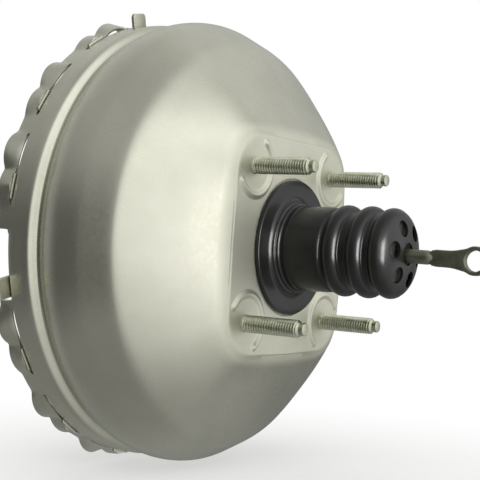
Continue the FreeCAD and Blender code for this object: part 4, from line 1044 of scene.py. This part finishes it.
# The blade's outline meets the eye's circle where that circle runs at 3 in 4 to the rod.
EYE_MEETS = 53.13
BLADE_PATH = (
    (EYE_PLACE - EYE_RADIUS * 0.6, EYE_RADIUS * 0.8), (100.2, NECK_HALF + 0.25), (97.5, NECK_HALF),
    (88.4, NECK_HALF), (85.6, 3.0), (85.6, 0.0),
)


class BOOSTER_OT_push_rod(bpy.types.Operator):
    """Forge the push rod: ball, collar, shank, and the flattened end with its pedal eye"""

    bl_idname = "booster.push_rod"
    bl_label = "Push Rod"

    def execute(self, context):
        shank = [BALL_FRONT] + arc(BALL_FRONT, BALL_REAR, BALL_RADIUS, 12) + [
            BALL_REAR, (COLLAR[0], BALL_REAR[1], 0.3), (COLLAR[0], COLLAR_RADIUS, 0.4),
            (COLLAR[1], COLLAR_RADIUS, 0.4), (COLLAR[1], ROD_RADIUS, 0.4),
            (ROD_FLAT_START, ROD_RADIUS, 1.0), (88.6, 2.1, 0.5), (89.0, 0.0),
        ]
        mesh = spun(shank, 48, closed=False)
        self.add_flat_end(mesh)
        droop = Matrix.Rotation(math.radians(ROD_DROOP), 4, "Y")
        pivot = at(BALL_PLACE)
        bmesh.ops.transform(mesh, matrix=pivot @ droop @ pivot.inverted(), verts=mesh.verts)
        piece("forged_rod", mesh, ["rod"], "push_rod", ["push_rod"], 38.0)
        return {"FINISHED"}

    def add_flat_end(self, mesh):
        """Flat blade that widens to the eye, with its hole, broken edges and a forged root."""
        blade = bmesh.new()
        hole = bmesh.ops.create_circle(
            blade, cap_ends=False, segments=EYE_STEPS, radius=EYE_HOLE * MM,
            matrix=at(EYE_PLACE, -FLAT_HALF) @ Matrix.Rotation(math.pi / 2, 4, "X"),
        )["verts"]
        inner_edges = list({edge for vert in hole for edge in vert.link_edges})
        outer = bmesh.ops.extrude_edge_only(blade, edges=inner_edges)["geom"]
        for vert in (item for item in outer if isinstance(item, bmesh.types.BMVert)):
            vert.co = self.blade_edge(math.atan2(vert.co.z, EYE_PLACE * MM - vert.co.x))
        thick = bmesh.ops.extrude_face_region(blade, geom=blade.faces[:])["geom"]
        far = [item for item in thick if isinstance(item, bmesh.types.BMVert)]
        bmesh.ops.translate(blade, vec=(0, 2 * FLAT_HALF * MM, 0), verts=far)
        bmesh.ops.recalc_face_normals(blade, faces=blade.faces)
        limit = math.radians(60.0)
        sharp = [edge for edge in blade.edges if edge.is_manifold and edge.calc_face_angle(0.0) > limit]
        bmesh.ops.bevel(
            blade, geom=sharp, offset=BLADE_EDGE * MM, offset_type="OFFSET", affect="EDGES", segments=3,
            profile=0.5, material=-1, clamp_overlap=True,
        )
        data = bpy.data.meshes.new("blade")
        blade.to_mesh(data)
        blade.free()
        mesh.from_mesh(data)
        bpy.data.meshes.remove(data)

    def blade_edge(self, angle):
        """Point of the blade's outline: the eye's circle at its far side, the neck's end at the near side."""
        turn = abs(angle)
        side = math.copysign(1.0, angle)
        meets = math.radians(EYE_MEETS)
        if turn >= meets:
            place = EYE_PLACE - EYE_RADIUS * math.cos(turn)
            return Vector((place, -FLAT_HALF, side * EYE_RADIUS * math.sin(turn))) * MM
        stretches = list(zip(BLADE_PATH, BLADE_PATH[1:]))
        left = (1.0 - turn / meets) * sum(math.dist(first, last) for first, last in stretches)
        for first, last in stretches:
            length = math.dist(first, last)
            if left <= length:
                break
            left -= length
        place, up = Vector(first).lerp(Vector(last), left / length)
        return Vector((place, -FLAT_HALF, side * up)) * MM


# Output side and check valve
class BOOSTER_OT_output_side(bpy.types.Operator):
    """Turn the output rod and mould the front seal round it"""

    bl_idname = "booster.output_side"
    bl_label = "Output Side"

    def execute(self, context):
        rod = [
            (-168.0, 0.0), (-168.0, 4.5, 1.0), (-150.0, 4.5, 0.2), (-150.0, 6.0, 0.5), (-61.5, 6.0, 0.3),
            (-61.5, 10.7, 0.3), (-57.0, 10.7, 0.3), (-57.0, 0.0),
        ]
        mesh = spun(rod, 64, closed=False)
        piece("turned_output_rod", mesh, ["rod"], "piston", ["output_rod"], 30.0)
        seal = [
            (-142.0, 6.35, 0.4), (-142.0, 21.45, 0.5), (-148.6, 21.45, 0.4), (-148.6, 19.5, 0.6),
            (-145.0, 17.4, 0.8), (-145.0, 10.2, 0.8), (-148.6, 8.0, 0.6), (-148.6, 6.35, 0.4),
        ]
        mesh = spun(seal, 96)
        piece("moulded_front_seal", mesh, ["seal"], "housing", ["front_seal"], 45.0)
        return {"FINISHED"}


CHECK_HEIGHT = 69.0


class BOOSTER_OT_check_valve(bpy.types.Operator):
    """Mould the check valve: grommet, body with its inlet, and barbed hose nipple"""

    bl_idname = "booster.check_valve"
    bl_label = "Check Valve"

    def execute(self, context):
        grommet = [
            (-136.4, 5.5, 0.3), (-136.4, 9.8, 0.6), (-138.0, 9.8, 0.3), (-138.0, 8.2, 0.2),
            (-140.0, 8.2, 0.2), (-140.0, 11.0, 0.5), (-141.6, 11.0, 0.5), (-141.6, 5.5, 0.2),
        ]
        body = [
            (-134.5, 3.2), (-134.5, 5.5, 0.5), (-141.6, 5.5), (-141.6, 11.0, 0.6), (-151.5, 11.0, 0.25),
            (-151.5, 8.0), (-145.0, 8.0), (-145.0, 3.2),
        ]
        nipple = [
            (-151.5, 2.8), (-151.5, 11.0, 0.25), (-154.1, 11.0, 0.8), (-154.1, 5.2, 0.6), (-178.0, 5.2, 0.2),
            (-178.0, 6.2, 0.25), (-184.0, 4.4, 0.3), (-184.0, 2.8, 0.2),
        ]
        parts = (
            ("grommet_moulding", grommet, "seal", "check_valve_grommet", "seal_rubber"),
            ("valve_body_moulding", body, "nylon", "check_valve_body", "valve_nylon"),
            ("nipple_moulding", nipple, "nylon", "check_valve_nipple", "valve_nylon"),
        )
        for name, corners, label, node, slot in parts:
            mesh = spun(corners, 72)
            bmesh.ops.translate(mesh, vec=(0, 0, CHECK_HEIGHT * MM), verts=mesh.verts)
            piece(name, mesh, [label], "housing", [node], 35.0)
        return {"FINISHED"}


# Springs and diaphragms
RETURN_SPRING = {"wire": 0.00065, "radius": 0.0118, "start": 0.02255, "length": 0.009, "turns": 3.0}
CHECK_SPRING = {"wire": 0.0004, "radius": 0.0042, "start": -0.1507, "length": 0.00335, "turns": 2.0}
VALVE_SPRING = {"wire": 0.00045, "radius": 0.0119, "start": 0.00935, "length": 0.0098, "turns": 3.0}


class BOOSTER_OT_springs(bpy.types.Operator):
    """Wind the four springs in place of their nodes"""

    bl_idname = "booster.springs"
    bl_label = "Springs"

    def execute(self, context):
        piston = {"wire": context.scene.booster_sizes.piston_wire, "radius": 0.028, "start": -0.1519,
                  "length": 0.0778, "turns": 6.0}
        self.spring("piston_spring_coil", "piston_return_spring", "housing", piston,
                    ("piston_stroke", -0.154, 0.583))
        self.spring("return_spring_coil", "valve_return_spring", "piston", RETURN_SPRING,
                    ("air_valve_travel", 0.0215, 0.783))
        self.spring("check_spring_coil", "check_valve_spring", "housing", CHECK_SPRING,
                    ("check_valve_lift", -0.1515, 0.697), CHECK_HEIGHT)
        valve = self.spring("valve_spring_coil", "control_valve_spring", None, VALVE_SPRING, None)
        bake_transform(valve)
        return {"FINISHED"}

    def spring(self, name, node, body, sizes, travel, height=0.0):
        """One coil in place of its node, with a mesh of its own where it has a joint."""
        mesh = coil(**sizes)
        bmesh.ops.translate(mesh, vec=(0, 0, height * MM), verts=mesh.verts)
        thing = piece(name, mesh, ["spring"], body, [node], 40.0)
        if travel:
            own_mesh(thing)
        return thing


class BOOSTER_OT_diaphragms(bpy.types.Operator):
    """Mould the two rolling diaphragms"""

    bl_idname = "booster.diaphragms"
    bl_label = "Diaphragms"

    def execute(self, context):
        primary = [
            (-9.5, 19.0, 0.4), (-9.5, 54.0, 3.0), (-38.5, 106.0, 3.0), (-50.0, 121.2, 3.0),
            (-84.9, 121.2, 0.6), (-84.9, 126.9, 0.8), (-89.4, 126.9, 0.8), (-89.4, 119.2, 0.6),
            (-52.0, 119.2, 2.5),
            (-40.5, 106.0, 3.0), (-11.5, 54.0, 3.0), (-11.5, 19.0, 0.4),
        ]
        secondary = [
            (-62.0, 25.4, 0.4), (-62.0, 52.0, 3.0), (-90.0, 102.0, 3.0), (-98.8, 106.5, 1.5),
            (-98.8, 115.4, 1.5), (-91.0, 117.4, 0.6), (-91.0, 126.9, 0.8), (-95.5, 126.9, 0.8),
            (-95.5, 117.8, 0.5), (-100.8, 117.4, 1.0), (-100.8, 106.5, 1.5), (-92.0, 102.0, 2.5),
            (-64.0, 52.0, 3.0), (-64.0, 25.4, 0.4),
        ]
        for name, corners, node, anchor, keep in (
            ("primary_membrane", primary, "primary_diaphragm", -0.0894, 0.574),
            ("secondary_membrane", secondary, "secondary_diaphragm", -0.0955, 0.02),
        ):
            mesh = spun(corners, 120, longest=6.0)
            thing = piece(name, mesh, ["diaphragm"], "housing", [node], 45.0)
            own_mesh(thing)
        return {"FINISHED"}


# Pieces that keep their own solids
KEPT_FINISHES = {
    "plate": (
        "housing_divider", "primary_support_plate", "secondary_support_plate", "valve_stop_key",
        "valve_retainer", "silencer_retainer", "output_rod_retainer", "rod_spring_seat",
        "control_valve_insert",
    ),
    "seal": (
        "divider_seal", "piston_bearing_seal", "air_valve_seal", "control_valve", "reaction_disc",
        "check_valve_disc",
    ),
    "phenolic": ("power_piston",),
    "valve": ("air_valve",),
    "foam": ("air_filter",),
}


class BOOSTER_OT_kept_pieces(bpy.types.Operator):
    """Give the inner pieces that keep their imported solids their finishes"""

    bl_idname = "booster.kept_pieces"
    bl_label = "Inner Pieces"

    def execute(self, context):
        for label, names in KEPT_FINISHES.items():
            for name in names:
                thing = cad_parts[name]
                if not thing.material_slots:
                    raise RuntimeError(f"{name} has no material slot")
                for place in thing.material_slots:
                    place.material = finish(label)
        return {"FINISHED"}


# Stage
CAMERA_PLACE = (0.333923, -0.569597, -0.005986)
CAMERA_RIGHT = (0.83795767, 0.5418609, 0.06491309)
CAMERA_DOWN = (0.04756663, 0.04597502, -0.99780946)
CAMERA_AHEAD = (-0.54365831, 0.83920978, 0.01275063)
FOCAL_PIXELS = 1153.80
IMAGE_PIXELS = 480
SENSOR_WIDTH = 36.0
# Softboxes: name, place, size and power.
SOFTBOXES = (
    ("key_softbox", (0.55, -1.25, 0.75), (0.9, 0.9), 7.0),
    ("top_softbox", (-0.1, -0.1, 1.5), (1.2, 1.2), 6.0),
)
WINDOW_STRIP = ("window_strip", (1.25, -0.08, 0.1), (0.07, 0.45), 0.2)
BOOT_SOFTBOX = ("boot_softbox", (1.15, -0.5, 0.06), (0.55, 0.85), 30.0)
FILL_GREY = (0.55, 0.55, 0.54, 1.0)
WHITE = (1.0, 1.0, 1.0, 1.0)
FLOOR_HALF = 6.0
FLOOR_GAP = 0.0005
# A ramp is a start, an end, a low and a high value.
RAMP_SOCKETS = ("Value", "From Min", "From Max", "To Min", "To Max")
FLOOR_FADE = (0.15, 0.4, 0.55, 1.0)
TENT_RADIUS = 2.6
TENT_TINT = (0.965, 1.0, 0.985, 1.0)
# The tent's brightness follows the direction: white towards the pedal, dim towards the camera and the floor.
# Each part is a product of ramps along an axis, and the parts are added to the dim tone.
TENT_DIM = 0.115
TENT_PARTS = (
    (("X", 0.25, 0.82, 0.0, 0.88), ("Z", -0.85, -0.05, 0.35, 1.0)),
    (("Y", -0.3, 0.6, 0.0, 0.22), ("Z", -0.35, 0.1, 0.35, 1.0)),
    (("Z", 0.05, 0.75, 0.0, 0.29),),
    (("Z", -0.3, -0.7, 0.0, 0.12),),
    (("X", -0.72, -1.0, 0.0, 0.24),),
)


def background_rays(tree):
    """Factor that is 1 for the rays that see the background: camera, glossy and transmission."""
    path = add(tree, "LightPath").outputs
    seen = path["Is Camera Ray"]
    for ray in ("Is Glossy Ray", "Is Transmission Ray"):
        seen = add(tree, "Math", {0: seen, 1: path[ray]}, operation="MAXIMUM").outputs[0]
    return seen


def area_lamp(name, place, size, power):
    """Soft square lamp that faces the origin."""
    lamp = bpy.data.lights.new(name, "AREA")
    lamp.shape = "RECTANGLE"
    lamp.size, lamp.size_y = size
    lamp.energy = power
    thing = bpy.data.objects.new(name, lamp)
    bpy.context.scene.collection.objects.link(thing)
    aim = (-Vector(place)).to_track_quat("-Z", "Y")
    thing.matrix_world = Matrix.Translation(place) @ aim.to_matrix().to_4x4()
    return thing


def tent_tone(tree):
    """Brightness of the tent by direction, from its parts."""
    place = add(tree, "TexCoord").outputs["Object"]
    towards = add(tree, "VectorMath", {0: place}, operation="NORMALIZE").outputs["Vector"]
    axes = add(tree, "SeparateXYZ", {"Vector": towards}).outputs
    tone = TENT_DIM
    for part in TENT_PARTS:
        product = 1.0
        for axis, *ramp in part:
            inputs = dict(zip(RAMP_SOCKETS, (axes[axis], *ramp)))
            eased = add(tree, "MapRange", inputs, interpolation_type="SMOOTHSTEP").outputs["Result"]
            product = add(tree, "Math", {0: product, 1: eased}, operation="MULTIPLY").outputs[0]
        tone = add(tree, "Math", {0: tone, 1: product}, operation="ADD").outputs[0]
    return tone


def studio_tent():
    """Photographer's tent that only the object's reflections see."""
    mesh = bmesh.new()
    bmesh.ops.create_uvsphere(mesh, u_segments=48, v_segments=24, radius=TENT_RADIUS)
    bmesh.ops.reverse_faces(mesh, faces=mesh.faces)
    cloth, tree = bare_material("tent_cloth")
    glow = add(tree, "Emission", {"Color": TENT_TINT, "Strength": tent_tone(tree)})
    add(tree, "OutputMaterial", {"Surface": glow.outputs["Emission"]})
    thing = laid("studio_tent", mesh, [cloth])
    thing.visible_camera = False
    thing.visible_diffuse = False
    thing.visible_shadow = False
    thing.visible_transmission = False


class BOOSTER_OT_stage(bpy.types.Operator):
    """Set the camera, the floor, the lamps and the white surroundings"""

    bl_idname = "booster.stage"
    bl_label = "Stage"

    def execute(self, context):
        self.camera(context.scene)
        self.floor(context.scene)
        self.surroundings(context.scene)
        studio_tent()
        for softbox in SOFTBOXES:
            area_lamp(*softbox).visible_glossy = False
        area_lamp(*WINDOW_STRIP)
        # The boot alone has this softbox, which draws the bright streaks on its folds.
        boots = bpy.data.collections.new("boot_receivers")
        boots.objects.link(bpy.data.objects["boot_moulding"])
        area_lamp(*BOOT_SOFTBOX).light_linking.receiver_collection = boots
        context.scene.view_settings.view_transform = "Standard"
        return {"FINISHED"}

    def camera(self, scene):
        """Camera where the photograph was taken from, for a square image."""
        data = bpy.data.cameras.new("camera")
        data.sensor_fit = "HORIZONTAL"
        data.sensor_width = SENSOR_WIDTH
        data.lens = FOCAL_PIXELS / IMAGE_PIXELS * SENSOR_WIDTH
        data.clip_start = 0.01
        thing = bpy.data.objects.new("camera", data)
        scene.collection.objects.link(thing)
        axes = Matrix((Vector(CAMERA_RIGHT), -Vector(CAMERA_DOWN), -Vector(CAMERA_AHEAD))).transposed()
        thing.matrix_world = Matrix.Translation(CAMERA_PLACE) @ axes.to_4x4()
        scene.camera = thing

    def floor(self, scene):
        """Pale floor that keeps the shadow near the object and runs into the white background."""
        mesh = bmesh.new()
        bmesh.ops.create_grid(mesh, x_segments=8, y_segments=8, size=FLOOR_HALF)
        bmesh.ops.translate(mesh, vec=(0, 0, CAD_BOX[0][2] - FLOOR_GAP), verts=mesh.verts)
        made, tree = bare_material("pale_paper")
        place = add(tree, "TexCoord").outputs["Object"]
        away = add(tree, "VectorMath", {0: place}, operation="LENGTH").outputs["Value"]
        ramp = dict(zip(RAMP_SOCKETS, (away, *FLOOR_FADE)))
        fade = add(tree, "MapRange", ramp, interpolation_type="SMOOTHSTEP").outputs["Result"]
        seen = add(tree, "Math", {0: fade, 1: background_rays(tree)}, operation="MULTIPLY")
        paper = add(tree, "BsdfDiffuse", {"Color": list(scene.booster_colours.floor)})
        white = add(tree, "Emission", {"Color": WHITE, "Strength": 1.0})
        both = add(
            tree, "MixShader",
            {0: seen.outputs[0], 1: paper.outputs["BSDF"], 2: white.outputs["Emission"]},
        )
        add(tree, "OutputMaterial", {"Surface": both.outputs["Shader"]})
        thing = laid("floor", mesh, [made])
        thing.visible_glossy = False

    def surroundings(self, scene):
        """White background for the rays that see it, and a plain grey fill for the rest."""
        world = bpy.data.worlds.new("surroundings")
        world.use_nodes = True
        tree = world.node_tree
        tree.nodes.clear()
        fill = add(tree, "Background", {"Color": FILL_GREY, "Strength": 1.0})
        white = add(tree, "Background", {"Color": WHITE, "Strength": 1.0})
        both = add(
            tree, "MixShader",
            {0: background_rays(tree), 1: fill.outputs["Background"], 2: white.outputs["Background"]},
        )
        add(tree, "OutputWorld", {"Surface": both.outputs["Shader"]})
        scene.world = world


class BOOSTER_PT_panel(bpy.types.Panel):
    """Lists the booster's pieces and its sizes and colours"""

    bl_idname = "BOOSTER_PT_panel"
    bl_label = "Vacuum Brake Booster"
    bl_space_type = "VIEW_3D"
    bl_region_type = "UI"
    bl_category = "Booster"

    def draw(self, context):
        layout = self.layout
        for operator in OPERATORS:
            layout.operator(operator.bl_idname)
        for group in (context.scene.booster_sizes, context.scene.booster_colours):
            box = layout.box()
            for name in group.bl_rna.properties.keys():
                if name not in ("rna_type", "name"):
                    box.prop(group, name)


OPERATORS = (
    BOOSTER_OT_rear_shell,
    BOOSTER_OT_front_shell,
    BOOSTER_OT_studs,
    BOOSTER_OT_boot,
    BOOSTER_OT_silencer,
    BOOSTER_OT_push_rod,
    BOOSTER_OT_output_side,
    BOOSTER_OT_check_valve,
    BOOSTER_OT_springs,
    BOOSTER_OT_diaphragms,
    BOOSTER_OT_kept_pieces,
    BOOSTER_OT_stage,
)
CLASSES = (BoosterSizes, BoosterColours, *OPERATORS, BOOSTER_PT_panel)


def register():
    """Register the classes and hang the settings on the scene."""
    for kind in CLASSES:
        bpy.utils.register_class(kind)
    bpy.types.Scene.booster_sizes = bpy.props.PointerProperty(type=BoosterSizes)
    bpy.types.Scene.booster_colours = bpy.props.PointerProperty(type=BoosterColours)


def unregister():
    """Take the settings and the classes away again."""
    del bpy.types.Scene.booster_colours
    del bpy.types.Scene.booster_sizes
    for kind in reversed(CLASSES):
        bpy.utils.unregister_class(kind)


def main():
    """Build every piece in order."""
    register()
    for operator in OPERATORS:
        group, name = operator.bl_idname.split(".")
        getattr(getattr(bpy.ops, group), name)()


if __name__ == "__main__":
    main()
